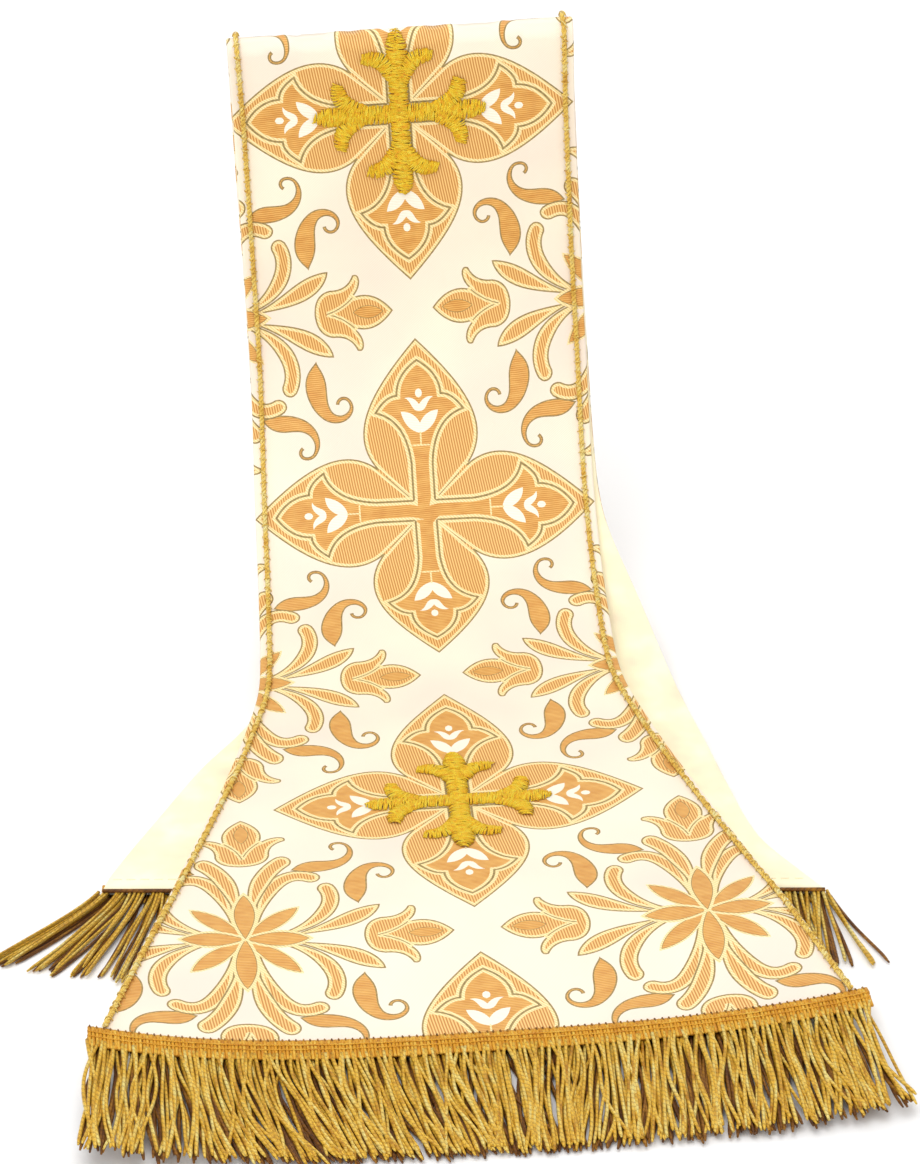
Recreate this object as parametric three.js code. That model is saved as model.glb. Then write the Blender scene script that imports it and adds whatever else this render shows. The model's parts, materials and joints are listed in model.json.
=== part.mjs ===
// A Roman maniple: one long brocade strip with flared ends, lined, folded over at the top so that
// both fringed ends point the same way. The front half comes down, bends and lies on the table; the
// back half lies under it, lining up, a little askew and shorter, because the fold is off centre.
// Millimetres, +Z up, the front faces -Y. The origin is at the centre of the footprint, on the table.
import * as THREE from 'three';
import { mergeVertices } from 'three/addons/utils/BufferGeometryUtils.js';

// --- Cut of the strip. "run" is measured along it: 0 at the middle cross, + to the front hem. ---
const HALF_LENGTH = 347;        // middle cross to either hem
const MIDDLE_HALF_WIDTH = 48.8; // half the width at the middle cross
const STEM_TAPER = 0.0087;      // widening of each side of the stem, per mm of run
const FLARE_RUN = 184;          // where the spade ends start to widen
const FLARE_SLOPE = 0.27;       // widening of each side of an end, per mm of run
const FLARE_ROUNDING = 8;       // softens the corner between stem and end
const HEM_ARCH = 4;             // how much shorter the cut is at the hem's corners

// --- Layers, as distances from the middle of the folded stack ---
const GAP = 0.3;
const LINING_WALL = 1.0;
const BROCADE_WALL = 1.2;
const TRIM_WALL = 0.8;          // galloon, fringe headings and the hidden cross
const CROSS_WALL = 1.8;         // raised embroidery on the front
const LINING_IN = GAP / 2;
const LINING_OUT = LINING_IN + LINING_WALL;
const BROCADE_IN = LINING_OUT + GAP;
const FACE = BROCADE_IN + BROCADE_WALL;
const TRIM_IN = FACE + GAP;
const TRIM_OUT = TRIM_IN + TRIM_WALL;

// --- Posture. "station" is measured down the front face: 0 at the middle cross. ---
const FOLD_STATION = -20.8;     // top of the stem, just above the middle cross
const FOLD_BULGE = 1;           // roundness of the fold
const BULGE_FADE = 25;          // length over which the two halves close up below the fold
const STEM_LEAN = 0.016;        // angle, in radians, by which the stem leans to the left
const LEAN_START = 35;          // height above the table from which it leans
const LEAN_REACH = 50;
const LEAN_PIVOT = 110;         // height that the lean does not shift
const BEND_START = 40;          // end of the upright stem
const BEND_END = 200;           // start of the foot, which lies on the table
const BOW = 3;                  // how far the front half bows clear of the back one
const BOW_STATION = 178;
const BOW_REACH = 50;
const DROP_START = 290;         // the front half comes down off the back one's fringe
const DROP_END = 343;
const LIFT_START = 270;         // the front hem's corners curl up a little
const LIFT_REACH = 70;
const LIFT_LEFT = 6;
const LIFT_RIGHT = 3;
const BACK_HEM_STATION = 279;   // where the back half's hem lies, under the front half
const BACK_SKEW = 0.105;        // the back hem lies askew: station gained per mm to the right
const SKEW_RUN = 180;           // where the back half starts to turn askew

// Sideways shift of the back half's left and right edges, + to the right, by station.
const BACK_LIE = [
  { station: 24, left: 0, right: 0 },
  { station: 110, left: 2, right: 0.8 },
  { station: 150, left: 12, right: 2.6 },
  { station: 181, left: 17, right: 0.8 },
  { station: 213, left: 8.5, right: -2.5 },
  { station: 234, left: 4.9, right: -5.2 },
  { station: 262, left: 0.5, right: -7.7 },
  { station: 279, left: -0.9, right: -4.3 },
  { station: 316, left: -22, right: 6 },
];

// --- Trims ---
const GALLOON_WIDTH = 2.2;
const GALLOON_INSET = 2.8;      // edge to galloon's middle, on the stem
const GALLOON_INSET_END = 1.4;  // the same at the hem
const HEADING_START = 341.5;    // the woven heading of the fringe covers the hem
const HEADING_END = 348.5;
const HEADING_OVERHANG = 1.5;   // past each edge
const FRINGE_START = HEADING_END + GAP;
const FRINGE_END = 387;         // tips of the strands
const FRINGE_TIP_SPREAD = 3;    // how far the strands splay past each end of the heading
// Thickness of each bundle of strands; the back one's tips are pressed flat under the front half.
const FRINGE_BUNDLES = [
  { name: 'front', side: 1, root: 3.6, tip: 2.8 },
  { name: 'back', side: -1, root: 3.2, tip: 0.5 },
];

// --- Embroidered crosses, two on the front half and one on the back ---
const CROSS_RUN = 241.2;        // middle cross to either end cross
const MIDDLE_CROSS_ACROSS = -1.4;
const END_CROSS_ACROSS = 1.2;
const CROSS_SHAFT = 2.9;        // half width of the shaft
// Outline of half an arm, from the crossing to the tip: petal below, petal above, bud.
const CROSS_ARM = [
  { along: 10.5, out: 2.9 },
  { along: 13.4, out: 4.6 },
  { along: 15.6, out: 8.6 },
  { along: 17.4, out: 10.8 },
  { along: 19.6, out: 9.4 },
  { along: 19.4, out: 5.2 },
  { along: 20.2, out: 2.5 },
  { along: 23.4, out: 2.6 },
  { along: 25.4, out: 1.3 },
];

// --- Fineness of the faceted walls ---
const ACROSS_STEPS = 10;
const BEND_STEPS = 16;
const FOLD_STEPS = 8;
const FACET_LENGTH = 11;        // longest edge of the cross that lies round the bend

// --- Worked out from the above ---
const BEND_LENGTH = BEND_END - BEND_START;
const MIDDLE_RADIUS = BEND_LENGTH / (Math.PI / 2) + FACE;
const REST_HEIGHT = TRIM_OUT;   // the back half's galloon lies on the table
const FRONT_DROP = REST_HEIGHT + LINING_IN;
const FOLD_ARC = Math.PI * ((BROCADE_IN + FACE) / 2 + FOLD_BULGE);
const BACK_START_RUN = FOLD_STATION - FOLD_ARC;
const BACK_RATE = (BACK_HEM_STATION - FOLD_STATION) / (HALF_LENGTH + BACK_START_RUN);
const HEM_HALF_WIDTH = halfWidth(HALF_LENGTH);

function ease(value) {
  const u = THREE.MathUtils.clamp(value, 0, 1);
  return u * u * (3 - 2 * u);
}

// Half the strip's width at a run: a slightly tapered stem and straight flares.
function halfWidth(run) {
  const length = Math.abs(run);
  const past = length - FLARE_RUN;
  const flare = (past + Math.hypot(past, FLARE_ROUNDING)) / 2;
  return MIDDLE_HALF_WIDTH + STEM_TAPER * Math.min(length, FLARE_RUN) + FLARE_SLOPE * flare;
}

// A column of a table at any station, through its rows as a smooth curve.
function fromTable(rows, column, station) {
  const last = rows.length - 1;
  if (station <= rows[0].station) return rows[0][column];
  if (station >= rows[last].station) return rows[last][column];
  const i = rows.findIndex((row) => row.station > station) - 1;
  const slope = (k) => {
    const a = rows[Math.max(k - 1, 0)];
    const b = rows[Math.min(k + 1, last)];
    return (b[column] - a[column]) / (b.station - a.station);
  };
  const span = rows[i + 1].station - rows[i].station;
  const u = (station - rows[i].station) / span;
  const rise = rows[i + 1][column] - rows[i][column];
  const bendStart = u * (1 - u) * (1 - u) * (slope(i) * span - rise);
  const bendEnd = u * u * (1 - u) * (slope(i + 1) * span - rise);
  return rows[i][column] + rise * u + bendStart - bendEnd;
}

// The side profile: upright stem, quarter bend, foot. "height" is in front of, or above, the middle
// of the stack; it is negative for the back half.
function profile(station, height) {
  const turn = THREE.MathUtils.clamp((BEND_END - station) / BEND_LENGTH, 0, 1) * Math.PI / 2;
  const radius = MIDDLE_RADIUS - height;
  const foot = Math.max(station - BEND_END, 0);
  const stem = Math.max(BEND_START - station, 0);
  return {
    y: radius * Math.sin(turn) - foot,
    z: REST_HEIGHT + MIDDLE_RADIUS - radius * Math.cos(turn) + stem,
  };
}

function bulge(station) {
  return FOLD_BULGE * (1 - ease((station - FOLD_STATION) / BULGE_FADE));
}

function frontPoint(run, x, height) {
  const corner = (Math.abs(x) / HEM_HALF_WIDTH) ** 3;
  const arch = HEM_ARCH * corner * ease((run - FLARE_RUN) / (HALF_LENGTH - FLARE_RUN));
  const station = run - arch;
  const away = Math.min(Math.abs(station - BOW_STATION) / BOW_REACH, 1);
  const bow = BOW * Math.cos(away * Math.PI / 2) ** 2;
  const { y, z } = profile(station, height + bow + bulge(station));
  const drop = FRONT_DROP * ease((station - DROP_START) / (DROP_END - DROP_START));
  const lift = (x < 0 ? LIFT_LEFT : LIFT_RIGHT) * corner * ease((station - LIFT_START) / LIFT_REACH);
  return new THREE.Vector3(x, y, z - drop + lift);
}

function foldPoint(run, x, height) {
  const angle = (FOLD_STATION - run) / FOLD_ARC * Math.PI;
  const { y, z } = profile(FOLD_STATION, 0);
  const radius = height + FOLD_BULGE;
  return new THREE.Vector3(x, y - radius * Math.cos(angle), z + radius * Math.sin(angle));
}

function backPoint(run, x, height) {
  const length = -run;
  const turned = BACK_SKEW * ease((length - SKEW_RUN) / (HALF_LENGTH - SKEW_RUN));
  const station = FOLD_STATION + (BACK_START_RUN - run) * BACK_RATE + turned * x;
  const side = Math.min(Math.abs(x) / halfWidth(run), 1);
  const shift = fromTable(BACK_LIE, x < 0 ? 'left' : 'right', station) * side;
  const { y, z } = profile(station, -height - bulge(station));
  return new THREE.Vector3(x + shift, y, z);
}

// A point of the upright strip, turned with the stem's lean.
function leaned(point) {
  const angle = STEM_LEAN * ease((point.z - LEAN_START) / LEAN_REACH);
  const { x, y, z } = point;
  return new THREE.Vector3(x - angle * (z - LEAN_PIVOT), y, z + angle * x);
}

// A point of the strip: run along it, x across it, height out from the middle of the stack.
function stripPoint(run, x, height) {
  if (run >= FOLD_STATION) return leaned(frontPoint(run, x, height));
  if (run > BACK_START_RUN) return leaned(foldPoint(run, x, height));
  return leaned(backPoint(run, x, height));
}

function steps(from, to, count) {
  return Array.from({ length: count + 1 }, (_, i) => from + (to - from) * i / count);
}

// Runs at which the walls have a row of points, from the front heading to the back one.
function rowsBetweenHeadings() {
  const backRun = (station) => BACK_START_RUN - (station - FOLD_STATION) / BACK_RATE;
  const runs = [
    ...steps(HEADING_START, DROP_START, 6),
    ...steps(DROP_START, BEND_END, 8),
    ...steps(BEND_END, BEND_START, BEND_STEPS),
    ...steps(BEND_START, FOLD_STATION, 5),
    ...steps(FOLD_STATION, BACK_START_RUN, FOLD_STEPS),
    ...steps(BACK_START_RUN, backRun(BEND_START), 5),
    ...steps(BEND_START, BEND_END, BEND_STEPS).map(backRun),
    ...steps(backRun(BEND_END), -HEADING_START, 6),
  ];
  return runs.filter((run, i) => i === 0 || runs[i - 1] - run > 1e-6);
}

// A closed body from its points and triangles, with its faces pointing out.
function closedGeometry(points, triangles) {
  let volume = 0;
  for (const [a, b, c] of triangles) {
    volume += points[a].dot(new THREE.Vector3().crossVectors(points[b], points[c]));
  }
  const facing = volume > 0 ? triangles : triangles.map(([a, b, c]) => [a, c, b]);
  const geometry = new THREE.BufferGeometry().setFromPoints(points);
  geometry.setIndex(facing.flat());
  geometry.computeVertexNormals();
  return geometry;
}

// A wall between two heights: rows run along the strip, columns go across it from -1 to 1.
// widthAt gives the half width of a row, heightAt its inner and outer height.
function wall(rows, columns, widthAt, heightAt, middleAt = () => 0) {
  const points = [];
  for (const side of [0, 1]) {
    for (const run of rows) {
      for (const column of columns) {
        const x = middleAt(run) + column * widthAt(run);
        points.push(stripPoint(run, x, heightAt(run)[side]));
      }
    }
  }
  const index = (side, i, j) => (side * rows.length + i) * columns.length + j;
  const lastRow = rows.length - 1;
  const lastColumn = columns.length - 1;
  const triangles = [];
  const quad = (a, b, c, d) => triangles.push([a, b, c], [a, c, d]);
  for (let i = 0; i < lastRow; i += 1) {
    for (let j = 0; j < lastColumn; j += 1) {
      quad(index(0, i, j), index(0, i, j + 1), index(0, i + 1, j + 1), index(0, i + 1, j));
      quad(index(1, i, j), index(1, i + 1, j), index(1, i + 1, j + 1), index(1, i, j + 1));
    }
    quad(index(0, i, 0), index(0, i + 1, 0), index(1, i + 1, 0), index(1, i, 0));
    quad(index(0, i, lastColumn), index(1, i, lastColumn), index(1, i + 1, lastColumn),
      index(0, i + 1, lastColumn));
  }
  for (let j = 0; j < lastColumn; j += 1) {
    quad(index(0, 0, j), index(1, 0, j), index(1, 0, j + 1), index(0, 0, j + 1));
    quad(index(0, lastRow, j), index(0, lastRow, j + 1), index(1, lastRow, j + 1),
      index(1, lastRow, j));
  }
  return closedGeometry(points, triangles);
}

// --- Materials ---
const fabric = (color, roughness, metalness = 0) => (
  new THREE.MeshStandardMaterial({ color, roughness, metalness })
);

function addMesh(group, name, geometry, material) {
  const mesh = new THREE.Mesh(geometry, material);
  mesh.name = name;
  group.add(mesh);
}

// The brocade and its lining: one strip each, running over the fold from hem to hem.
function addCloth(group) {
  const rows = [HALF_LENGTH, ...rowsBetweenHeadings(), -HALF_LENGTH];
  const columns = steps(-1, 1, ACROSS_STEPS);
  const brocade = wall(rows, columns, halfWidth, () => [BROCADE_IN, FACE]);
  const lining = wall(rows, columns, (run) => halfWidth(run) - GAP, () => [LINING_IN, LINING_OUT]);
  addMesh(group, 'brocade', brocade, fabric(0xf7e7c6, 0.6));
  addMesh(group, 'lining', lining, fabric(0xfaf3dc, 0.75));
}

// The galloon along each edge, from one heading over the fold to the other.
function addGalloons(group) {
  const end = HEADING_START - GAP;
  const rows = [end, ...rowsBetweenHeadings().slice(1, -1), -end];
  const inset = (run) => (
    THREE.MathUtils.lerp(GALLOON_INSET, GALLOON_INSET_END, ease(Math.abs(run) / HALF_LENGTH * 2 - 1))
  );
  for (const [name, side] of [['galloon_left', -1], ['galloon_right', 1]]) {
    const middle = (run) => side * (halfWidth(run) - inset(run));
    const strip = wall(rows, [-1, 1], () => GALLOON_WIDTH / 2, () => [TRIM_IN, TRIM_OUT], middle);
    addMesh(group, name, strip, fabric(0xd9a52e, 0.5, 0.3));
  }
}

// The fringe: its woven heading on the brocade, and the reach of its strands.
function addFringes(group) {
  const columns = steps(-1, 1, ACROSS_STEPS);
  const headingWidth = (run) => halfWidth(run) + HEADING_OVERHANG;
  const past = (run) => (Math.abs(run) - FRINGE_START) / (FRINGE_END - FRINGE_START);
  const strandWidth = (run) => headingWidth(HEADING_END) + FRINGE_TIP_SPREAD * past(run);
  for (const { name, side, root, tip } of FRINGE_BUNDLES) {
    const headingRows = [HEADING_START, HALF_LENGTH, HEADING_END].map((run) => side * run);
    const heading = wall(headingRows, columns, headingWidth, () => [TRIM_IN, TRIM_OUT]);
    addMesh(group, `fringe_heading_${name}`, heading, fabric(0xd08a24, 0.55, 0.2));

    const strandRows = steps(side * FRINGE_START, side * FRINGE_END, 5);
    const thickness = (run) => THREE.MathUtils.lerp(root, tip, past(run));
    const heights = (run) => (
      side > 0 ? [LINING_IN, LINING_IN + thickness(run)] : [REST_HEIGHT - thickness(run), REST_HEIGHT]
    );
    const strands = wall(strandRows, columns, strandWidth, heights);
    addMesh(group, `fringe_${name}`, strands, fabric(0xb98a22, 0.45, 0.4));
  }
}

// Outline of the cross with four like arms: each ends in two side petals and a bud.
function crossOutline() {
  const corner = new THREE.Vector2(CROSS_SHAFT, -CROSS_SHAFT);
  const lower = CROSS_ARM.map(({ along, out }) => new THREE.Vector2(along, -out));
  const upper = CROSS_ARM.map(({ along, out }) => new THREE.Vector2(along, out)).reverse();
  const centre = new THREE.Vector2();
  return [0, 1, 2, 3].flatMap((arm) => [corner, ...lower, ...upper].map((point) => (
    point.clone().rotateAround(centre, arm * Math.PI / 2)
  )));
}

// Halves every edge longer than the limit, in both triangles that share it, until none is left.
function splitLongEdges(points, triangles, limit) {
  const middles = new Map();
  const middleOf = (a, b) => {
    const key = a < b ? `${a} ${b}` : `${b} ${a}`;
    if (!middles.has(key) && points[a].distanceTo(points[b]) > limit) {
      middles.set(key, points.push(points[a].clone().lerp(points[b], 0.5)) - 1);
    }
    return middles.get(key);
  };
  const split = triangles.flatMap((triangle) => {
    const ring = triangle.flatMap((a, i) => [a, middleOf(a, triangle[(i + 1) % 3])]);
    const start = ring.findIndex((value, i) => i % 2 === 1 && value !== undefined);
    if (start < 0) return [triangle];
    const turned = [...ring.slice(start), ...ring.slice(0, start)].filter((v) => v !== undefined);
    return turned.slice(2).map((c, i) => [turned[0], turned[i + 1], c]);
  });
  return middles.size ? splitLongEdges(points, split, limit) : split;
}

// A cross laid on the strip's face at a run, its points moved out from the face. "topRun" is the
// run at which it stops, so that the middle cross doesn't go over the fold.
function crossGeometry(run, across, thickness, topRun = -Infinity) {
  const flat = new THREE.ExtrudeGeometry(new THREE.Shape(crossOutline()), {
    depth: thickness,
    bevelEnabled: false,
  });
  flat.deleteAttribute('normal');
  flat.deleteAttribute('uv');
  const { attributes: { position }, index } = mergeVertices(flat);
  const points = Array.from({ length: position.count }, (_, i) => (
    new THREE.Vector3().fromBufferAttribute(position, i)
  ));
  const whole = Array.from({ length: index.count / 3 }, (_, i) => (
    [index.getX(3 * i), index.getX(3 * i + 1), index.getX(3 * i + 2)]
  ));
  const triangles = splitLongEdges(points, whole, FACET_LENGTH);
  const laid = points.map(({ x, y, z }) => (
    stripPoint(Math.max(run - y, topRun), across + x, TRIM_IN + z)
  ));
  return closedGeometry(laid, triangles);
}

function addCrosses(group) {
  const gold = fabric(0xe3ae24, 0.5, 0.25);
  const middle = crossGeometry(0, MIDDLE_CROSS_ACROSS, CROSS_WALL, FOLD_STATION);
  const front = crossGeometry(CROSS_RUN, END_CROSS_ACROSS, CROSS_WALL);
  const back = crossGeometry(-CROSS_RUN, 0, TRIM_WALL);
  addMesh(group, 'cross_middle', middle, gold);
  addMesh(group, 'cross_front', front, gold);
  addMesh(group, 'cross_back', back, gold);
}

// The whole maniple, moved so that the origin is at the centre of its footprint.
function buildManiple() {
  const maniple = new THREE.Group();
  addCloth(maniple);
  addGalloons(maniple);
  addFringes(maniple);
  addCrosses(maniple);
  const box = new THREE.Box3().setFromObject(maniple);
  const centre = box.getCenter(new THREE.Vector3());
  maniple.position.set(-centre.x, -centre.y, -box.min.z);
  return maniple;
}

export default buildManiple();
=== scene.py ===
"""The looks of a Roman maniple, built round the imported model: a brocade strip with a woven pattern,
its lining, the gold cord along the edges, the fringes with their woven headings, and the
embroidered crosses. The strip's own shape is worked out as in the model's source; lengths are in
millimetres until a mesh is made. "run" is measured along the strip, 0 at the middle cross and + to
the front hem; "x" goes across it and "height" out from the middle of the folded stack."""
import json
import math

import bpy
import numpy as np
from mathutils import Matrix, Vector
from mathutils.geometry import delaunay_2d_cdt

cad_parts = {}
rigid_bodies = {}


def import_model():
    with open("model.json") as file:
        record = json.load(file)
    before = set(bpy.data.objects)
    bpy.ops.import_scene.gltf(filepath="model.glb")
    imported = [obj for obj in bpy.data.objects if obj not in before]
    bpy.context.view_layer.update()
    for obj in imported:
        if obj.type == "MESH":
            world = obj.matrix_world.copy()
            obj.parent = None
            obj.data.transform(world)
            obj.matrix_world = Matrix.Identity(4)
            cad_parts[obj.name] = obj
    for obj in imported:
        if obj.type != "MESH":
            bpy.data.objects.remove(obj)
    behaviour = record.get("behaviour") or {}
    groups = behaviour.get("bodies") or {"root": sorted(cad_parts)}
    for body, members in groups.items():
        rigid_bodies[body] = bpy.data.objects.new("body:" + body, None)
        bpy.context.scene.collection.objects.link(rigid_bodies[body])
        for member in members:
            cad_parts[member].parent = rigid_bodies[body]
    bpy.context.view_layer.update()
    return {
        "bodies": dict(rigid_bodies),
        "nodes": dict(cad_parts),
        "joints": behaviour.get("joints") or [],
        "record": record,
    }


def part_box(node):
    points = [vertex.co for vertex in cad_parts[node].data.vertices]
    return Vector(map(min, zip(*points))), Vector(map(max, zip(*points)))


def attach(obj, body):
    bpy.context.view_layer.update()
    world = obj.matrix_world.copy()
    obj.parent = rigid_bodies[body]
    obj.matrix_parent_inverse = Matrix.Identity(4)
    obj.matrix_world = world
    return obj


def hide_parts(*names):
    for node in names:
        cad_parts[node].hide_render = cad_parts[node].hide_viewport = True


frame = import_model()
MM = 0.001

# --- The strip's cut and posture, the same values as in the model's source ---
# The cut: half lengths and widths, and where and how fast it widens.
HALF_LENGTH = 347.0
MIDDLE_HALF_WIDTH = 48.8
STEM_TAPER = 0.0087
FLARE_RUN = 184.0
FLARE_SLOPE = 0.27
FLARE_ROUNDING = 8.0
HEM_ARCH = 4.0
# The layers, as heights over the middle of the folded stack.
GAP = 0.3
LINING_IN = 0.15
LINING_OUT = 1.15
BROCADE_IN = 1.45
FACE = 2.65
TRIM_OUT = 3.75
# The posture: the fold on top, the leaning stem, the bend, the foot and its curled corners.
FOLD_STATION = -20.8
FOLD_BULGE = 1.0
BULGE_FADE = 25.0
STEM_LEAN = 0.016
LEAN_START = 35.0
LEAN_REACH = 50.0
LEAN_PIVOT = 110.0
BEND_START = 40.0
BEND_END = 200.0
BOW = 3.0
BOW_STATION = 178.0
BOW_REACH = 50.0
DROP_START = 290.0
DROP_END = 343.0
LIFT_START = 270.0
LIFT_REACH = 70.0
LIFT_LEFT = 6.0
LIFT_RIGHT = 3.0
BACK_HEM_STATION = 279.0
BACK_SKEW = 0.105
SKEW_RUN = 180.0
# The trims.
HEADING_START = 341.5
HEADING_END = 348.5
FRINGE_END = 387.0
CROSS_RUN = 241.2
MIDDLE_CROSS_ACROSS = -1.4
END_CROSS_ACROSS = 1.2

BEND_LENGTH = BEND_END - BEND_START
MIDDLE_RADIUS = BEND_LENGTH / (math.pi / 2) + FACE
REST_HEIGHT = TRIM_OUT
FRONT_DROP = REST_HEIGHT + LINING_IN
FOLD_ARC = math.pi * ((BROCADE_IN + FACE) / 2 + FOLD_BULGE)
BACK_START_RUN = FOLD_STATION - FOLD_ARC
BACK_RATE = (BACK_HEM_STATION - FOLD_STATION) / (HALF_LENGTH + BACK_START_RUN)


def table(columns, *rows):
    """A short table: one array for each named column."""
    return dict(zip(columns.split(), np.array(rows, float).T))


# Sideways shift of the back half's left and right edges, + to the right.
BACK_LIE = table(
    "station left right",
    (24, 0, 0),
    (110, 2, 0.8),
    (150, 12, 2.6),
    (181, 17, 0.8),
    (213, 8.5, -2.5),
    (234, 4.9, -5.2),
    (262, 0.5, -7.7),
    (279, -0.9, -4.3),
    (316, -22, 6),
)


# --- The strip's surface ---
def ease(value):
    """A soft step from 0 at 0 to 1 at 1."""
    u = np.clip(value, 0, 1)
    return u * u * (3 - 2 * u)


def half_width(run):
    """Half the width of the cut."""
    length = np.abs(run)
    past = length - FLARE_RUN
    flare = (past + np.hypot(past, FLARE_ROUNDING)) / 2
    return MIDDLE_HALF_WIDTH + STEM_TAPER * np.minimum(length, FLARE_RUN) + FLARE_SLOPE * flare


HEM_HALF_WIDTH = half_width(HALF_LENGTH)


def from_table(rows, column, station):
    """A column of a table at any station, through its rows as a smooth curve."""
    stations = rows["station"]
    values = rows[column]
    slopes = np.gradient(values, stations, edge_order=1)
    slopes[1:-1] = (values[2:] - values[:-2]) / (stations[2:] - stations[:-2])
    s = np.clip(station, stations[0], stations[-1])
    i = np.clip(np.searchsorted(stations, s, side="right") - 1, 0, len(stations) - 2)
    span = stations[i + 1] - stations[i]
    u = (s - stations[i]) / span
    rise = values[i + 1] - values[i]
    start = u * (1 - u) ** 2 * (slopes[i] * span - rise)
    end = u * u * (1 - u) * (slopes[i + 1] * span - rise)
    return values[i] + rise * u + start - end


def profile(station, height):
    """The side profile: upright stem, quarter bend, foot."""
    turn = np.clip((BEND_END - station) / BEND_LENGTH, 0, 1) * math.pi / 2
    radius = MIDDLE_RADIUS - height
    foot = np.maximum(station - BEND_END, 0)
    stem = np.maximum(BEND_START - station, 0)
    y = radius * np.sin(turn) - foot
    z = REST_HEIGHT + MIDDLE_RADIUS - radius * np.cos(turn) + stem
    return y, z


def bulge(station):
    """How far the two halves stand apart under the fold."""
    return FOLD_BULGE * (1 - ease((station - FOLD_STATION) / BULGE_FADE))


def front_point(run, x, height):
    """The front half: it bows a little in the bend, and its hem's corners curl up."""
    corner = (np.abs(x) / HEM_HALF_WIDTH) ** 3
    arch = HEM_ARCH * corner * ease((run - FLARE_RUN) / (HALF_LENGTH - FLARE_RUN))
    station = run - arch
    away = np.minimum(np.abs(station - BOW_STATION) / BOW_REACH, 1)
    bow = BOW * np.cos(away * math.pi / 2) ** 2
    y, z = profile(station, height + bow + bulge(station))
    drop = FRONT_DROP * ease((station - DROP_START) / (DROP_END - DROP_START))
    side = np.where(x < 0, LIFT_LEFT, LIFT_RIGHT)
    lift = side * corner * ease((station - LIFT_START) / LIFT_REACH)
    return np.stack([x, y, z - drop + lift], axis=-1)


def fold_point(run, x, height):
    """The half turn over the top."""
    angle = (FOLD_STATION - run) / FOLD_ARC * math.pi
    y, z = profile(np.full_like(run, FOLD_STATION), 0)
    radius = height + FOLD_BULGE
    return np.stack([x, y - radius * np.cos(angle), z + radius * np.sin(angle)], axis=-1)


def back_point(run, x, height):
    """The back half, which lies askew under the front one."""
    turned = BACK_SKEW * ease((-run - SKEW_RUN) / (HALF_LENGTH - SKEW_RUN))
    station = FOLD_STATION + (BACK_START_RUN - run) * BACK_RATE + turned * x
    side = np.minimum(np.abs(x) / half_width(run), 1)
    left = from_table(BACK_LIE, "left", station)
    right = from_table(BACK_LIE, "right", station)
    shift = np.where(x < 0, left, right) * side
    y, z = profile(station, -height - bulge(station))
    return np.stack([x + shift, y, z], axis=-1)


def leaned(points):
    """The upright strip's points, turned with the stem's lean."""
    x, y, z = points[..., 0], points[..., 1], points[..., 2]
    angle = STEM_LEAN * ease((z - LEAN_START) / LEAN_REACH)
    return np.stack([x - angle * (z - LEAN_PIVOT), y, z + angle * x], axis=-1)


# The model's origin is at the centre of its footprint.
FRONT_CROSS_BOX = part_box("cross_front")
ORIGIN = np.array([
    (FRONT_CROSS_BOX[0][0] + FRONT_CROSS_BOX[1][0]) / 2 / MM - END_CROSS_ACROSS,
    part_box("brocade")[1][1] / MM - (MIDDLE_RADIUS + FACE + FOLD_BULGE),
    0.0,
])


# Soft undulations of the cloth: where each is centred, how far it reaches along and across the
# strip, how much it slants, and how high it stands.
WAVES = table(
    "run x reach_run reach_x slant height",
    (48, -26, 15, 40, 0.25, 0.7),
    (84, 22, 17, 46, -0.2, 0.9),
    (122, -24, 15, 44, 0.2, 0.8),
    (158, 16, 16, 50, -0.15, 0.9),
    (205, -30, 18, 34, 0.3, 0.6),
    (218, 44, 24, 30, 0.5, 0.5),
    (262, -56, 30, 24, -0.6, 0.6),
    (286, 12, 18, 50, 0.1, 0.35),
    (308, 66, 24, 22, 0.4, 0.5),
    (-70, 15, 20, 50, 0.2, 0.7),
    (-112, -22, 17, 44, -0.25, 0.8),
    (-152, 10, 22, 50, 0.15, 0.7),
)


def undulation(run, x):
    """How far all the soft waves lift the cloth."""
    total = np.zeros(np.broadcast(run, x).shape)
    for i in range(len(WAVES["run"])):
        wave = {name: column[i] for name, column in WAVES.items()}
        along = (run - wave["run"] - wave["slant"] * (x - wave["x"])) / wave["reach_run"]
        across = (x - wave["x"]) / wave["reach_x"]
        total += wave["height"] * np.exp(-along * along - across * across)
    return total


def strip_point(run, x, height):
    """A point of the strip in metres, in the model's frame."""
    run, x, height = np.broadcast_arrays(
        np.asarray(run, float), np.asarray(x, float), np.asarray(height, float)
    )
    height = height + undulation(run, x)
    front = front_point(run, x, height)
    fold = fold_point(run, x, height)
    back = back_point(run, x, height)
    on_front = (run >= FOLD_STATION)[..., None]
    on_fold = (run > BACK_START_RUN)[..., None]
    return (leaned(np.where(on_front, front, np.where(on_fold, fold, back))) + ORIGIN) * MM


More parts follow.
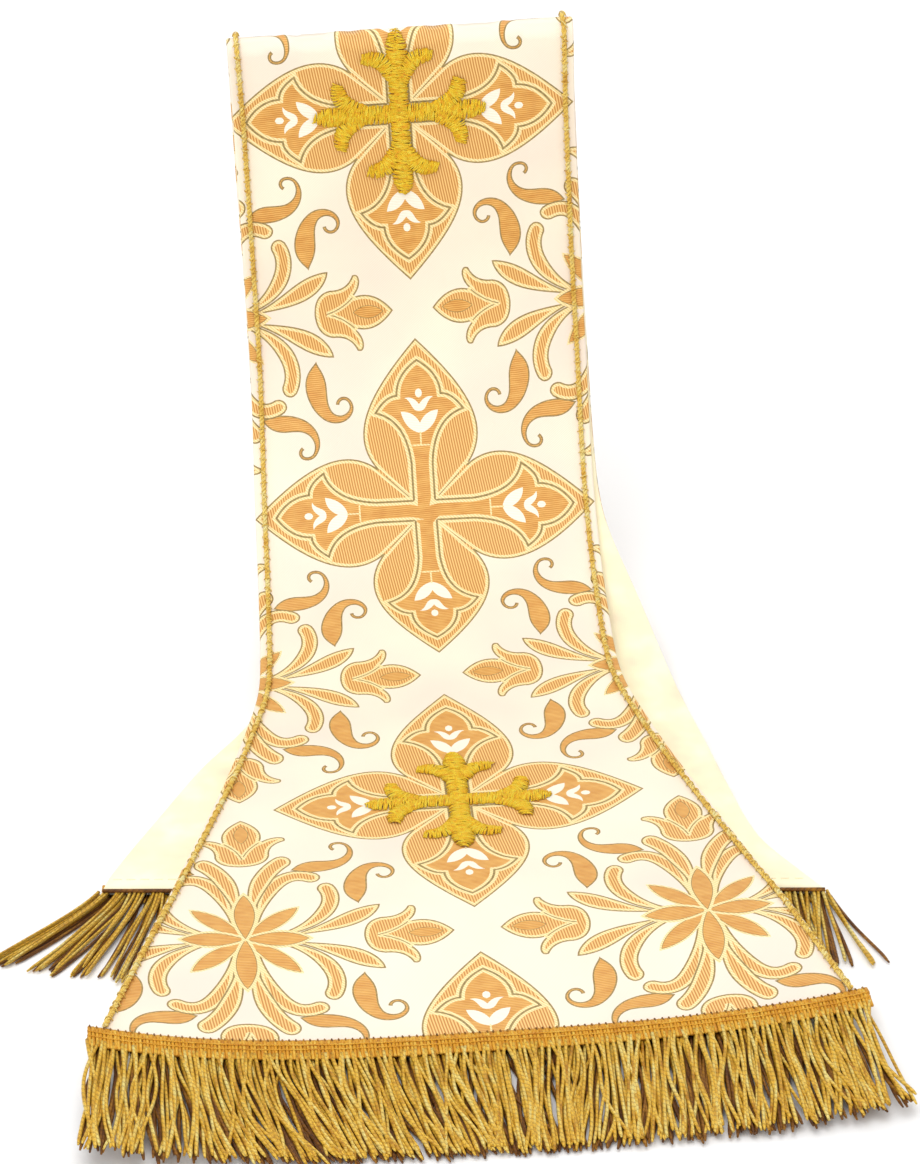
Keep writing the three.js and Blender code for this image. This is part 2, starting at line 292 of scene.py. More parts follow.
# --- Mesh making ---
def new_object(name, vertices, faces, materials, face_materials=None, uvs=None, normals=None):
    """A smooth-shaded piece from points in metres; each vertex has one uv pair, in millimetres."""
    mesh = bpy.data.meshes.new(name)
    faces = [np.asarray(group, int) for group in (faces if isinstance(faces, list) else [faces])]
    loops = np.concatenate([group.ravel() for group in faces])
    totals = np.concatenate([np.full(len(group), group.shape[1]) for group in faces])
    starts = np.concatenate([[0], np.cumsum(totals)[:-1]])
    mesh.vertices.add(len(vertices))
    mesh.vertices.foreach_set("co", np.asarray(vertices, np.float32).ravel())
    mesh.loops.add(len(loops))
    mesh.loops.foreach_set("vertex_index", loops.astype(np.int32))
    mesh.polygons.add(len(totals))
    mesh.polygons.foreach_set("loop_start", starts.astype(np.int32))
    mesh.polygons.foreach_set("loop_total", totals.astype(np.int32))
    for material in materials:
        mesh.materials.append(material)
    if face_materials is not None:
        mesh.polygons.foreach_set("material_index", np.asarray(face_materials, np.int32))
    mesh.polygons.foreach_set("use_smooth", np.ones(len(totals), bool))
    if uvs is not None:
        layer = mesh.uv_layers.new(name="weave")
        layer.data.foreach_set("uv", np.asarray(uvs, np.float32)[loops].ravel())
    mesh.update(calc_edges=True)
    mesh.validate()
    if normals is not None:
        mesh.normals_split_custom_set_from_vertices(np.asarray(normals, np.float32))
    piece = bpy.data.objects.new(name, mesh)
    bpy.context.scene.collection.objects.link(piece)
    return piece


def place(piece, slot, *nodes):
    """The piece rides on the one body and stands for its nodes."""
    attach(piece, "root")
    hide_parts(*nodes)
    return piece


# --- Drawing the woven pattern: lines and shapes in the strip's (x, run) plane ---
def distance_along(line):
    """How far along the line each of its points is."""
    return np.concatenate([[0], np.cumsum(np.linalg.norm(np.diff(line, axis=0), axis=1))])


def evenly(line, step):
    """The same line with even steps."""
    travelled = distance_along(line)
    even = np.linspace(0, travelled[-1], max(2, math.ceil(travelled[-1] / step) + 1))
    return np.column_stack([np.interp(even, travelled, line[:, k]) for k in (0, 1)])


def bezier(*controls, step=1.0):
    """The Bezier curve of two to four control points."""
    controls = np.array(controls, float)
    degree = len(controls) - 1
    t = np.linspace(0, 1, 50)[:, None]
    curve = sum(
        math.comb(degree, k) * t**k * (1 - t) ** (degree - k) * control
        for k, control in enumerate(controls)
    )
    return evenly(curve, step)


def scroll(start, length, headings, step=0.6):
    """A line that curls as its heading (degrees, at even distances along it) changes."""
    count = math.ceil(length / step)
    t = (np.arange(count) + 0.5) / count
    heading = np.radians(np.interp(t, np.linspace(0, 1, len(headings)), headings))
    moves = np.column_stack([np.cos(heading), np.sin(heading)]) * (length / count)
    return np.vstack([start, start + np.cumsum(moves, axis=0)])


def chain(*lines):
    """Lines that follow each other, as one."""
    return np.vstack([line[:-1] for line in lines[:-1]] + [lines[-1]])


def loop(line):
    """A closed outline without its repeated points."""
    following = np.roll(line, -1, axis=0)
    return line[np.linalg.norm(following - line, axis=1) > 0.02]


def mirrored(half, flip=(-1, 1)):
    """A closed outline from its half, which starts and ends on the mirror's line."""
    return loop(np.vstack([half, (half * flip)[::-1]]))


def line_normals(line, closed):
    """Normals of the line's points, lengthened at corners so that offset lines stay parallel."""
    ahead = np.roll(line, -1, axis=0) - line
    if not closed:
        ahead[-1] = ahead[-2]
    ahead /= np.linalg.norm(ahead, axis=1)[:, None]
    behind = np.roll(ahead, 1, axis=0)
    if not closed:
        behind[0] = ahead[0]
    middle = ahead + behind
    middle /= np.linalg.norm(middle, axis=1)[:, None] + 1e-9
    normals = np.column_stack([-middle[:, 1], middle[:, 0]])
    return normals / np.maximum((middle * ahead).sum(axis=1), 0.35)[:, None]


def stroke(middle, half):
    """The outline round a middle line, from half the width at each of its points."""
    reach = line_normals(middle, False) * half[:, None]
    return loop(np.vstack([middle + reach, (middle - reach)[::-1]]))


def leaf(middle, half, widest, bluntness):
    """A leaf: pointed where the bluntness is near 1, rounder where it is less."""
    t = np.linspace(0, 1, len(middle))
    swell = np.sin(math.pi * t ** (math.log(0.5) / math.log(widest)))
    return stroke(middle, half * np.clip(swell, 0, 1) ** bluntness)


def tongue(middle, half, base=0.3):
    """A leaf with parallel sides and a round tip, narrow at its base."""
    last = middle[-1] - middle[-2]
    middle = np.vstack([middle[:-1], middle[-1] - last * ((0.52,), (0.14,)), middle[-1:]])
    travelled = distance_along(middle)
    left = np.minimum((travelled[-1] - travelled) / half, 1)
    grown = base + (1 - base) * ease(travelled / travelled[-1] / 0.6)
    return stroke(middle, half * grown * np.sqrt(left * (2 - left)))


def comma(middle, half, widest, thinning, tail=0.52):
    """A round head that thins into a curled tail."""
    u = np.linspace(0, 1, len(middle)) / widest
    return stroke(middle, np.maximum(half * (u * np.exp(1 - u)) ** thinning, np.minimum(tail, u)))


def distance_to(line, closed, points):
    """How far each point lies from the line."""
    start = line if closed else line[:-1]
    end = np.roll(line, -1, axis=0) if closed else line[1:]
    along = end - start
    length = (along**2).sum(axis=1) + 1e-12
    nearest = np.empty(len(points))
    for part in np.array_split(np.arange(len(points)), len(points) * len(start) // 2_000_000 + 1):
        away = points[part][:, None, :] - start
        u = np.clip((away * along).sum(axis=2) / length, 0, 1)
        gap = away - u[..., None] * along
        nearest[part] = np.sqrt((gap**2).sum(axis=2).min(axis=1))
    return nearest


def is_inside(line, points):
    """Which points the closed line goes round."""
    x0, y0 = line.T
    x1, y1 = np.roll(line, -1, axis=0).T
    px, py = points[:, :1], points[:, 1:]
    spans = (y0 > py) != (y1 > py)
    rise = np.where(y1 == y0, 1e-12, y1 - y0)
    return (spans & (px < x0 + (py - y0) * (x1 - x0) / rise)).sum(axis=1) % 2 == 1


# The weaves, in the order of the brocade's material slots.
GROUND, LINE, PALE, TAN, GOLD, WHITE = range(6)


class Shape:
    """A line of the pattern, with bands of colour along it as (how far the band reaches, colour).
    With a fill it is a closed outline, whose inside takes the fill."""

    def __init__(self, line, inwards=(), outwards=(), fill=None):
        self.line = np.asarray(line, float)
        self.inwards = inwards
        self.outwards = outwards
        self.fill = fill
        self.closed = fill is not None

    def along(self, line):
        """The same shape on another line."""
        return Shape(line, self.inwards, self.outwards, self.fill)

    def moved(self, x=0, run=0, flip=(1, 1)):
        return self.along(self.line * flip + (x, run))

    def upright(self):
        return self.along(self.line[:, ::-1])

    def borders(self):
        """The lines where the colour changes, to cut the cloth's mesh along."""
        following = np.roll(self.line, -1, axis=0)
        area = (self.line[:, 0] * following[:, 1] - following[:, 0] * self.line[:, 1]).sum()
        inward = line_normals(self.line, self.closed) * (1 if area > 0 else -1)
        reaches = [reach for reach, _ in self.inwards] + [-reach for reach, _ in self.outwards]
        if self.closed:
            reaches.append(0)
        else:
            reaches += [reach for reach, _ in self.outwards]
        return [self.line + inward * reach for reach in reaches]

    def paint(self, centres, colours):
        """Colour the triangles whose centres lie in the shape or in its bands."""
        reach = max([0] + [reach for reach, _ in (*self.inwards, *self.outwards)])
        low, high = self.line.min(axis=0) - reach, self.line.max(axis=0) + reach
        near = np.flatnonzero(((centres > low) & (centres < high)).all(axis=1))
        points = centres[near]
        inside = np.zeros(len(near), bool)
        if self.closed:
            inside = is_inside(self.line, points)
            colours[near[inside]] = self.fill
        away = distance_to(self.line, self.closed, points)
        for bands, side in ((self.inwards, inside), (self.outwards, ~inside)):
            for reach, colour in sorted(bands, reverse=True):
                colours[near[side & (away < reach)]] = colour


def outlined(line):
    """A tan shape with a thin umber outline and a pale line inside it."""
    return Shape(line, ((0.45, LINE), (1.25, PALE)), fill=TAN)


def hairline(line, *bands):
    """An open line with bands of colour on both sides."""
    return Shape(line, outwards=bands)


ARM_ACROSS = 0.97       # the woven cross's side arms are a little shorter than the others


def quarter_turned(line, quarter, across=ARM_ACROSS):
    """A line of the arm that points along +run, turned for another arm."""
    angle = quarter * math.pi / 2
    turn = np.array([[math.cos(angle), -math.sin(angle)], [math.sin(angle), math.cos(angle)]])
    return line @ turn.T * ((across, 1) if quarter % 2 else (1, 1))


def four_arms(half):
    """A closed outline from the right half of one arm, from the notch to the tip."""
    arm = np.vstack([half, (half * (-1, 1))[::-1][1:]])
    return loop(np.vstack([quarter_turned(arm, quarter) for quarter in range(4)]))


def woven_cross():
    """Four broad petals, and on them a framed cross whose arms end in white lilies."""
    petals = four_arms(bezier((13.9, 14.1), (21.5, 25), (13.8, 37), (0, 51.5), step=1.5))
    frame = four_arms(chain(
        bezier((3.1, 3.1), (3.1, 14.5)),
        bezier((3.1, 14.5), (4.2, 27.6), (12.9, 30.0)),
        bezier((12.9, 30.0), (9.8, 34.8), (6.5, 34.8)),
        bezier((6.5, 34.8), (6.3, 41), (0, 45)),
    ))
    lily = mirrored(chain(
        bezier((0, 23.4), (4.4, 24.4), (5.5, 30)),
        bezier((5.5, 30), (1.7, 30), (0, 26.4)),
    ))
    upper_lily = mirrored(chain(
        bezier((0, 29.9), (2.5, 29.8), (1.9, 33), (4.2, 34), step=0.7),
        bezier((4.2, 34), (1.7, 34.6), (0, 31.9), step=0.7),
    ))
    lily_bud = leaf(bezier((0, 33.9), (0, 36.6), step=0.4), 1.0, 0.5, 0.4)
    bands = ((0.3, LINE), (1.15, PALE))
    shapes = [outlined(petals)]
    for quarter in range(4):
        for side in (1, -1):
            wedge = bezier((4.3 * side, 4.8), (12.8 * side, 14.2))
            shapes.append(hairline(quarter_turned(wedge, quarter), (0.4, PALE)))
        notch = bezier((4.5, 4.5), (11, 11))
        shapes.append(hairline(quarter_turned(notch, quarter), (0.13, LINE)))
    shapes.append(Shape(frame, bands, bands, fill=GOLD))
    for quarter in range(4):
        for line in (lily, upper_lily, lily_bud):
            shapes.append(Shape(quarter_turned(line, quarter), fill=WHITE))
        for line in (bezier((0, 19.8), (0, 23.8)), bezier((-2.4, 19.8), (2.4, 19.8))):
            shapes.append(hairline(quarter_turned(line, quarter), (0.24, PALE)))
    return shapes


def rosette():
    """A pointed flower with leaves and curled commas round it, alike in all four quarters."""
    leaves = [
        tongue(bezier((8, 1.4), (19.5, 4.6), (26, 16), (20, 23.6)), 2.4),
        tongue(bezier((2.9, 6), (5.5, 24.5), (11.5, 32), (19.6, 25.4)), 2.4),
        leaf(bezier((9, 0.7), (25, 4.2), (34.8, 13)), 2.9, 0.7, 0.8),
        tongue(bezier((1.8, 9), (2.4, 29), (12.2, 36.2)), 2.7),
    ]
    commas = [
        comma(scroll((12.4, 30.4), 30, (20, 12, 2, 16, 46, 80, 120, 200, 330)), 2.6, 0.22, 1.3),
        comma(scroll((29.4, 13.8), 33, (100, 94, 86, 74, 50, 0, -60, -140, -270)), 3.1, 0.24, 1.5),
    ]
    petal = leaf(bezier((0.3, 0.3), (13.6, 13.2)), 2.4, 0.56, 0.8)
    shapes = []
    for flip in ((1, 1), (-1, 1), (1, -1), (-1, -1)):
        shapes += [Shape(line, ((0.4, LINE),), fill=GOLD).moved(flip=flip) for line in commas]
        shapes += [outlined(line).moved(flip=flip) for line in leaves]
        shapes.append(Shape(petal, ((0.16, LINE),), ((0.5, PALE),), fill=GOLD).moved(flip=flip))
    for tip, half in (((16.2, 0), 2.8), ((-16.2, 0), 2.8), ((0, 19.6), 2.7), ((0, -19.6), 2.7)):
        line = leaf(bezier((0, 0), tip), half, 0.54, 0.8)
        shapes.append(Shape(line, ((0.2, LINE),), ((0.8, PALE),), fill=GOLD))
    return shapes


def tulip():
    """A tulip from its round base, at the origin, to its bud, which points along -x."""
    outline = mirrored(chain(
        bezier((0.4, 0), (0.2, 6.4), (-4.6, 7.2)),
        bezier((-4.6, 7.2), (-9.6, 6.9), (-11.4, 11.4), step=0.8),
        bezier((-11.4, 11.4), (-13.4, 12.2), (-13.4, 9.4), step=0.6),
        bezier((-13.4, 9.4), (-13.2, 6.8), (-11, 4.7), step=0.8),
        bezier((-11, 4.7), (-17.4, 7), (-22.6, 0)),
    ), flip=(1, -1))
    drop = leaf(bezier((-10.8, 0), (-19.8, 0), step=0.6), 2.0, 0.5, 0.8)
    vein = bezier((-11, 4.6), (-7.8, 1.2), (-3.2, 0), step=0.7)
    shapes = [outlined(outline)]
    for side in (1, -1):
        shapes.append(hairline(vein * (1, side), (0.16, LINE), (0.75, PALE)))
    shapes.append(Shape(drop, ((0.18, LINE),), fill=GOLD))
    return shapes


REPEAT = 120.6              # length of one repeat of the pattern
ROSETTE_ACROSS = 58.8       # its rosettes' distance from the middle line
TULIP_BASE = 30.4           # a rosette's centre to the base of the tulips beside it
TULIP_BASE_ALONG = 33.2     # the same for the tulips before and after it
PATTERN_SHIFT = -1.5        # the pattern's middle line off the strip's, at the middle cross
PATTERN_DRIFT = 0.0114      # and how fast it drifts across, per mm of run


def pattern():
    """All the shapes of the pattern on the strip, in the order in which they cover each other."""
    cross = woven_cross()
    flower = rosette()
    bud = tulip()
    upright = [shape.upright() for shape in bud]
    shapes = []
    for repeat in range(-4, 4):
        run = (repeat + 0.5) * REPEAT
        for side in (-1, 1):
            x = side * ROSETTE_ACROSS
            shapes += [shape.moved(x, run) for shape in flower]
            shapes += [shape.moved(x - side * TULIP_BASE, run, (side, 1)) for shape in bud]
            shapes += [shape.moved(x + side * TULIP_BASE, run, (-side, 1)) for shape in bud]
            for flip in (1, -1):
                base = run + flip * TULIP_BASE_ALONG
                shapes += [shape.moved(x, base, (1, -flip)) for shape in upright]
        shapes += [shape.moved(0, repeat * REPEAT) for shape in cross]
    for shape in shapes:
        shape.line[:, 0] += PATTERN_SHIFT + PATTERN_DRIFT * shape.line[:, 1]
    return shapes


# --- The brocade: one shell with rolled side edges, cut along the pattern's lines ---
ROLL = (FACE - BROCADE_IN) / 2      # radius of the rolled edge
FACE_GRID = (3.4, 4.2)              # spacing of the extra points between the pattern's lines
UNDER_GRID = (9.0, 9.0)
SIDE_POINTS = 353                   # points along each side
END_COLUMNS = 44
EXACT = 1e-6                        # points nearer than this to a line are on it
CORNER_SLACK = 1e-3


def flat_half(run):
    """How far the flat part reaches from the middle line, and, below, the rolled edge's end."""
    return half_width(run) - ROLL


def outer_half(run):
    return flat_half(run) + math.pi * ROLL


def is_on_end(run):
    return np.abs(np.abs(run) - HALF_LENGTH) < EXACT


def brocade_point(s, run):
    """A point of the brocade's outside. "s" goes across it and round its rolled edges."""
    flat = flat_half(run)
    over = np.clip((np.abs(s) - flat) / ROLL, 0, math.pi)
    x = np.sign(s) * (np.minimum(np.abs(s), flat) + ROLL * np.sin(over))
    return strip_point(run, x, FACE - ROLL + ROLL * np.cos(over))


def under_point(x, run):
    return strip_point(run, x, BROCADE_IN)


def surface_normals(point, across, run, step=0.2):
    """Normals that point to the side from which +run is to the left of +across."""
    by_across = point(across + step, run) - point(across - step, run)
    by_run = point(across, run + step) - point(across, run - step)
    normals = np.cross(by_run, by_across)
    return normals / (np.linalg.norm(normals, axis=1)[:, None] + 1e-12)


def side_line(sign, s_of_run):
    run = np.linspace(-HALF_LENGTH, HALF_LENGTH, SIDE_POINTS)
    return np.column_stack([sign * s_of_run(run), run])


def strip_outline():
    """The outline of the whole strip, anticlockwise in (x, run)."""
    right = side_line(1, outer_half)
    left = side_line(-1, outer_half)[::-1]
    across = np.linspace(-1, 1, END_COLUMNS + 1)[1:-1] * flat_half(HALF_LENGTH)
    far = np.column_stack([-across, np.full(len(across), HALF_LENGTH)])
    near = np.column_stack([across, np.full(len(across), -HALF_LENGTH)])
    return np.vstack([right, far, left, near])


def face_lines():
    """The pattern's borders, and the lines that shape the rolled edges."""
    lines = [(border, shape.closed) for shape in PATTERN for border in shape.borders()]
    for sign in (-1, 1):
        for turn in (0, 0.25, 0.5, 0.75):
            roll = side_line(sign, lambda run: flat_half(run) + turn * math.pi * ROLL)
            lines.append((roll, False))
    return lines


def within(points, outline, margin=0.0):
    """Which points lie in an outline that has a left and a right side at every run."""
    on_side = ~is_on_end(outline[:, 1]) | (outline[:, 0] > outline[0, 0] - EXACT)
    right = outline[on_side & (outline[:, 0] > 0)]
    right = right[np.argsort(right[:, 1], kind="stable")]
    edge = np.interp(points[:, 1], right[:, 1], right[:, 0])
    return (np.abs(points[:, 0]) < edge - margin) & (np.abs(points[:, 1]) < HALF_LENGTH - margin)


def point_grid(outline, spacing):
    """Points in even rows over the outline's box, every other row half a step aside."""
    low, high = outline.min(axis=0), outline.max(axis=0)
    x, run = np.meshgrid(
        np.arange(low[0], high[0], spacing[0]), np.arange(low[1], high[1], spacing[1])
    )
    x[1::2] += spacing[0] / 2
    return np.column_stack([x.ravel(), run.ravel()])


def triangulated(outline, lines, spacing):
    """Triangles of a flat region that keep its outline and the lines in it as edges, with a grid of
    extra points. Returns points, triangles and the points' numbers for the outline."""
    points = []
    edges = []
    count = 0
    for line, closed in [(outline, True)] + lines:
        numbers = np.arange(len(line)) + count
        count += len(line)
        pairs = np.column_stack([numbers, np.roll(numbers, -1)])
        points.append(line)
        edges.append(pairs if closed else pairs[:-1])
    points = np.vstack(points + [point_grid(outline, spacing)])
    edges = np.vstack(edges)
    kept = within(points, outline, margin=0.1)
    edges = edges[kept[edges].any(axis=1) | (edges < len(outline)).all(axis=1)]
    used = kept.copy()
    used[edges] = True
    number = np.cumsum(used) - 1
    result = delaunay_2d_cdt(
        [Vector(p) for p in points[used].tolist()], number[edges].tolist(), [], 0, 1e-4, True
    )
    flat = np.array([tuple(v) for v in result[0]])
    triangles = np.array(result[2])
    first = np.zeros(len(outline), int)
    for new, olds in enumerate(result[3]):
        for old in olds:
            if old < len(outline):
                first[old] = new
    middles = flat[triangles].mean(axis=1)
    inside = within(middles, outline)
    bordering = np.isin(triangles, first).all(axis=1)
    inside[bordering] = is_inside(outline, middles[bordering])
    return flat, triangles[inside], first


def border_loop(triangles):
    """The numbers of the points round a triangulated region, in order."""
    edges = np.vstack([triangles[:, [0, 1]], triangles[:, [1, 2]], triangles[:, [2, 0]]])
    present = set(map(tuple, edges.tolist()))
    following = {a: b for a, b in present if (b, a) not in present}
    start = next(iter(following))
    order = [start]
    while following[order[-1]] != start:
        order.append(following[order[-1]])
    return order


def welded(points, triangles, nearness=0.02):
    """The triangles, with neighbouring border points that all but coincide made one."""
    order = np.array(border_loop(triangles))
    following = np.roll(order, -1)
    near = np.linalg.norm(points[following] - points[order], axis=1) < nearness
    same = np.arange(len(points))
    for a, b in zip(order[near], following[near]):
        same[b] = same[a]
    joined = same[triangles]
    return joined[(joined != np.roll(joined, 1, axis=1)).all(axis=1)]


def underside(flat, order):
    """The plain underside, below the face's border. Its outline shares the border's points on the
    long sides and has new ones across the ends. Returns the new points in (x, run), the triangles,
    and the underside's point for each border point that has one."""
    below = {}
    outline = []
    fresh = []
    for number in order:
        x, run = flat[number]
        half = flat_half(run)
        on_end = is_on_end(run)
        if on_end and abs(x) < half - CORNER_SLACK:
            below[number] = len(flat) + len(fresh)
            fresh.append((x, run))
        elif abs(x) > (outer_half(run) - CORNER_SLACK if on_end else half + 2 * ROLL):
            below[number] = number
        else:
            continue
        outline.append((below[number], min(max(x, -half), half), run))
    outline = np.array(outline)
    inner, triangles, first = triangulated(outline[:, 1:], [], UNDER_GRID)
    numbers = np.full(len(inner), -1)
    numbers[first] = outline[:, 0]
    new = np.flatnonzero(numbers < 0)
    numbers[new] = len(flat) + len(fresh) + np.arange(len(new))
    return np.vstack([fresh, inner[new]]), numbers[triangles], below


def end_corner(flat, order, number):
    """The outermost point of the strip's outline at the same end and side."""
    x, run = flat[number]
    side = [n for n in order if abs(flat[n, 1] - run) < EXACT and flat[n, 0] * x > 0]
    return max(side, key=lambda n: abs(flat[n, 0]))


def end_walls(flat, order, below):
    """The two ends: from each pair of face points to the pair below, with a fan at each corner."""
    walls = []
    for a, b in zip(order, order[1:] + order[:1]):
        if not is_on_end(flat[a, 1]) or abs(flat[a, 1] - flat[b, 1]) > EXACT:
            continue
        corner = end_corner(flat, order, a if abs(flat[a, 0]) > abs(flat[b, 0]) else b)
        low_a, low_b = below.get(a, corner), below.get(b, corner)
        walls += [(a, b, low_b), (a, low_b, low_a)]
    return [wall for wall in walls if len(set(wall)) == 3]


def brocade_shell():
    """The patterned face with its rolled edges, the underside and the ends, as one closed mesh."""
    flat, triangles, _ = triangulated(strip_outline(), face_lines(), FACE_GRID)
    triangles = welded(flat, triangles)
    order = border_loop(triangles)
    added, lower, below = underside(flat, order)
    walls = end_walls(flat, order, below)
    colours = np.full(len(triangles), GROUND)
    centres = flat[triangles].mean(axis=1)
    for shape in PATTERN:
        shape.paint(centres, colours)
    vertices = np.vstack([brocade_point(*flat.T), under_point(*added.T)])
    normals = np.vstack([
        surface_normals(brocade_point, *flat.T), -surface_normals(under_point, *added.T),
    ])
    faces = np.vstack([triangles[:, ::-1], lower, walls])
    plain = np.full(len(lower) + len(walls), GROUND)
    shell = new_object(
        "brocade_cloth", vertices, faces, WEAVE_MATERIALS, np.concatenate([colours, plain]),
        np.vstack([flat, added]), normals,
    )
    return place(shell, "brocade", "brocade")


# --- Materials ---
def srgb(red, green, blue):
    """A colour from its usual 0-255 values, in the linear values that shaders take."""
    levels = [value / 255 for value in (red, green, blue)]
    linear = [v / 12.92 if v <= 0.04045 else ((v + 0.055) / 1.055) ** 2.4 for v in levels]
    return (*linear, 1.0)


class Finish:
    """A material under construction: its shader, and short calls for the nodes that feed it."""

    def __init__(self, name, roughness, metallic=0.0, sheen=0.0):
        self.material = bpy.data.materials.new(name)
        self.material.use_nodes = True
        self.tree = self.material.node_tree
        self.shader = self.tree.nodes["Principled BSDF"]
        self.set(self.shader, "Roughness", roughness)
        self.set(self.shader, "Metallic", metallic)
        self.set(self.shader, "Sheen Weight", sheen)

    def set(self, node, socket, value):
        if isinstance(value, bpy.types.NodeSocket):
            self.tree.links.new(value, node.inputs[socket])
        else:
            node.inputs[socket].default_value = value

    def node(self, kind, properties=None, **inputs):
        node = self.tree.nodes.new(kind)
        for name, value in (properties or {}).items():
            setattr(node, name, value)
        for name, value in inputs.items():
            self.set(node, name.replace("_", " "), value)
        return node

    def weave_uv(self, stretch=(1, 1, 1), turn=0.0):
        """The piece's own places, in millimetres."""
        uv = self.node("ShaderNodeUVMap", {"uv_map": "weave"})
        return self.node(
            "ShaderNodeMapping", Vector=uv.outputs[0], Scale=stretch, Rotation=(0, 0, turn)
        ).outputs[0]

    def threads(self, pitch, turn=0.0, wobble=0.6):
        """Fine parallel threads: 0 between them and 1 on top."""
        scale = 2 * math.pi / 20 / pitch
        return self.node(
            "ShaderNodeTexWave", Vector=self.weave_uv(turn=turn), Scale=scale,
            Distortion=wobble, Detail=1.0, Detail_Scale=0.4,
        ).outputs["Fac"]

    def clouds(self, size, stretch=(1, 1, 1), detail=2.0):
        """Soft noise between about 0.3 and 0.7."""
        return self.node(
            "ShaderNodeTexNoise", Vector=self.weave_uv(stretch), Scale=1 / size, Detail=detail
        ).outputs["Fac"]

    def ramp(self, factor, *stops):
        """A colour from a value, through stops of (value, colour)."""
        ramp = self.node("ShaderNodeValToRGB", Fac=factor)
        elements = ramp.color_ramp.elements
        while len(elements) < len(stops):
            elements.new(0.5)
        for element, (position, colour) in zip(elements, stops):
            element.position = position
            element.color = srgb(*colour)
        return ramp.outputs["Color"]

    def blend(self, factor, first, second, mode="MIX"):
        mix = self.node("ShaderNodeMix", {"data_type": "RGBA", "blend_type": mode})
        self.set(mix, 0, factor)
        self.set(mix, 6, first)
        self.set(mix, 7, second)
        return mix.outputs[2]

    def math(self, operation, first, second):
        node = self.node("ShaderNodeMath", {"operation": operation})
        self.set(node, 0, first)
        self.set(node, 1, second)
        return node.outputs[0]

    def done(self, colour, height, depth):
        """The material, with its colour and a relief of a few hundredths of a millimetre."""
        self.set(self.shader, "Base Color", colour)
        bump = self.node("ShaderNodeBump", Height=height, Distance=depth * MM, Strength=1.0)
        self.set(self.shader, "Normal", bump.outputs[0])
        return self.material


def threaded(name, roughness, sheen, depth, threads, *stops):
    """A weave whose colour and relief follow its threads, which have a pitch, turn and wobble."""
    finish = Finish(name, roughness, sheen=sheen)
    fine = finish.threads(*threads)
    return finish.done(finish.ramp(fine, *stops), fine, depth)


def ground_weave():
    """Ivory satin with a very fine twill."""
    finish = Finish("ivory_satin", 0.5, sheen=0.15)
    fine = finish.threads(0.42, turn=0.9)
    soft = finish.clouds(45.0)
    colour = finish.ramp(soft, (0.32, (238, 222, 208)), (0.66, (251, 241, 219)))
    colour = finish.blend(fine, finish.blend(0.5, colour, srgb(234, 218, 192)), colour)
    return finish.done(colour, fine, 0.02)


def line_weave():
    """The thin umber outline."""
    finish = Finish("umber_outline", 0.7)
    cloud = finish.clouds(0.8)
    colour = finish.ramp(cloud, (0.3, (128, 106, 56)), (0.7, (172, 148, 94)))
    return finish.done(colour, cloud, 0.02)


def pale_weave():
    """The pale yellow line inside the outlines."""
    return threaded(
        "pale_outline", 0.5, 0.1, 0.05, (0.7, 0.8),
        (0.1, (232, 202, 136)), (0.8, (250, 230, 174)),
    )


def tan_weave():
    """Ribs along the strip, peach on top and tan between."""
    return threaded(
        "tan_ribs", 0.5, 0.1, 0.08, (0.74, 0.16, 0.9),
        (0.15, (196, 130, 54)), (0.5, (219, 163, 83)), (0.85, (242, 200, 126)),
    )


def gold_weave():
    """Deep gold fill with fine threads across."""
    finish = Finish("gold_fill", 0.45, sheen=0.1)
    fine = finish.threads(0.62, turn=math.pi / 2 + 0.05, wobble=1.6)
    cloud = finish.clouds(2.4, (0.5, 1, 1))
    both = finish.math("MULTIPLY_ADD", fine, 0.5)
    finish.set(both.node, 2, finish.math("MULTIPLY", cloud, 0.6))
    colour = finish.ramp(
        both, (0.15, (192, 122, 42)), (0.5, (214, 150, 62)), (0.85, (234, 184, 100)),
    )
    return finish.done(colour, fine, 0.08)


def white_weave():
    """The lilies' white satin."""
    return threaded(
        "white_satin", 0.4, 0.2, 0.05, (0.5, math.pi / 2),
        (0.1, (240, 230, 207)), (0.7, (250, 244, 229)),
    )


def lining_cloth():
    """Plain cream sateen."""
    finish = Finish("cream_lining", 0.75, sheen=0.2)
    fine = finish.threads(0.5)
    cross = finish.threads(0.5, turn=math.pi / 2)
    weave = finish.math("ADD", fine, cross)
    soft = finish.clouds(14.0)
    colour = finish.ramp(
        soft, (0.28, (240, 225, 194)), (0.5, (250, 240, 204)), (0.74, (253, 248, 222)),
    )
    return finish.done(colour, weave, 0.02)


def gold_thread(name, dark, middle, bright, metallic, roughness, fleck, groove_relief_and_shade=0.0):
    """Lustrous gold thread: a colour that changes from strand to strand and along each, with painted
    shade between its fine filaments and, as far as the groove setting goes, twisted plies with their
    relief and painted shade in their grooves. The UV map has the way round the thread and the way
    along it."""
    finish = Finish(name, roughness, metallic=metallic)
    filaments = finish.threads(0.3, turn=0.75, wobble=1.5)
    cloud = finish.clouds(fleck, (1, 0.35, 1), 3.0)
    colour = finish.ramp(cloud, (0.3, dark), (0.5, middle), (0.72, bright))
    # Painted shade: the colour is darker between the fine filaments.
    painted_shade = finish.ramp(filaments, (0.0, (184, 160, 128)), (0.5, (255, 255, 255)))
    colour = finish.blend(1.0, colour, painted_shade, "MULTIPLY")
    # Painted shade: the plies' grooves are darker, as far as the groove setting goes, besides their
    # relief.
    plies = finish.threads(1.3, turn=0.95, wobble=1.0)
    painted_groove_shade = finish.ramp(plies, (0.0, (120, 84, 44)), (0.4, (255, 255, 255)))
    colour = finish.blend(groove_relief_and_shade, colour, finish.blend(1.0, colour, painted_groove_shade, "MULTIPLY"))
    relief = finish.math("MULTIPLY_ADD", plies, 2.5 * groove_relief_and_shade)
    finish.set(relief.node, 2, filaments)
    return finish.done(colour, relief, 0.07)


# --- Threads, cords and strands ---
UV_SHIFT = 7.3              # shifts the threads' colours from each tube to the next


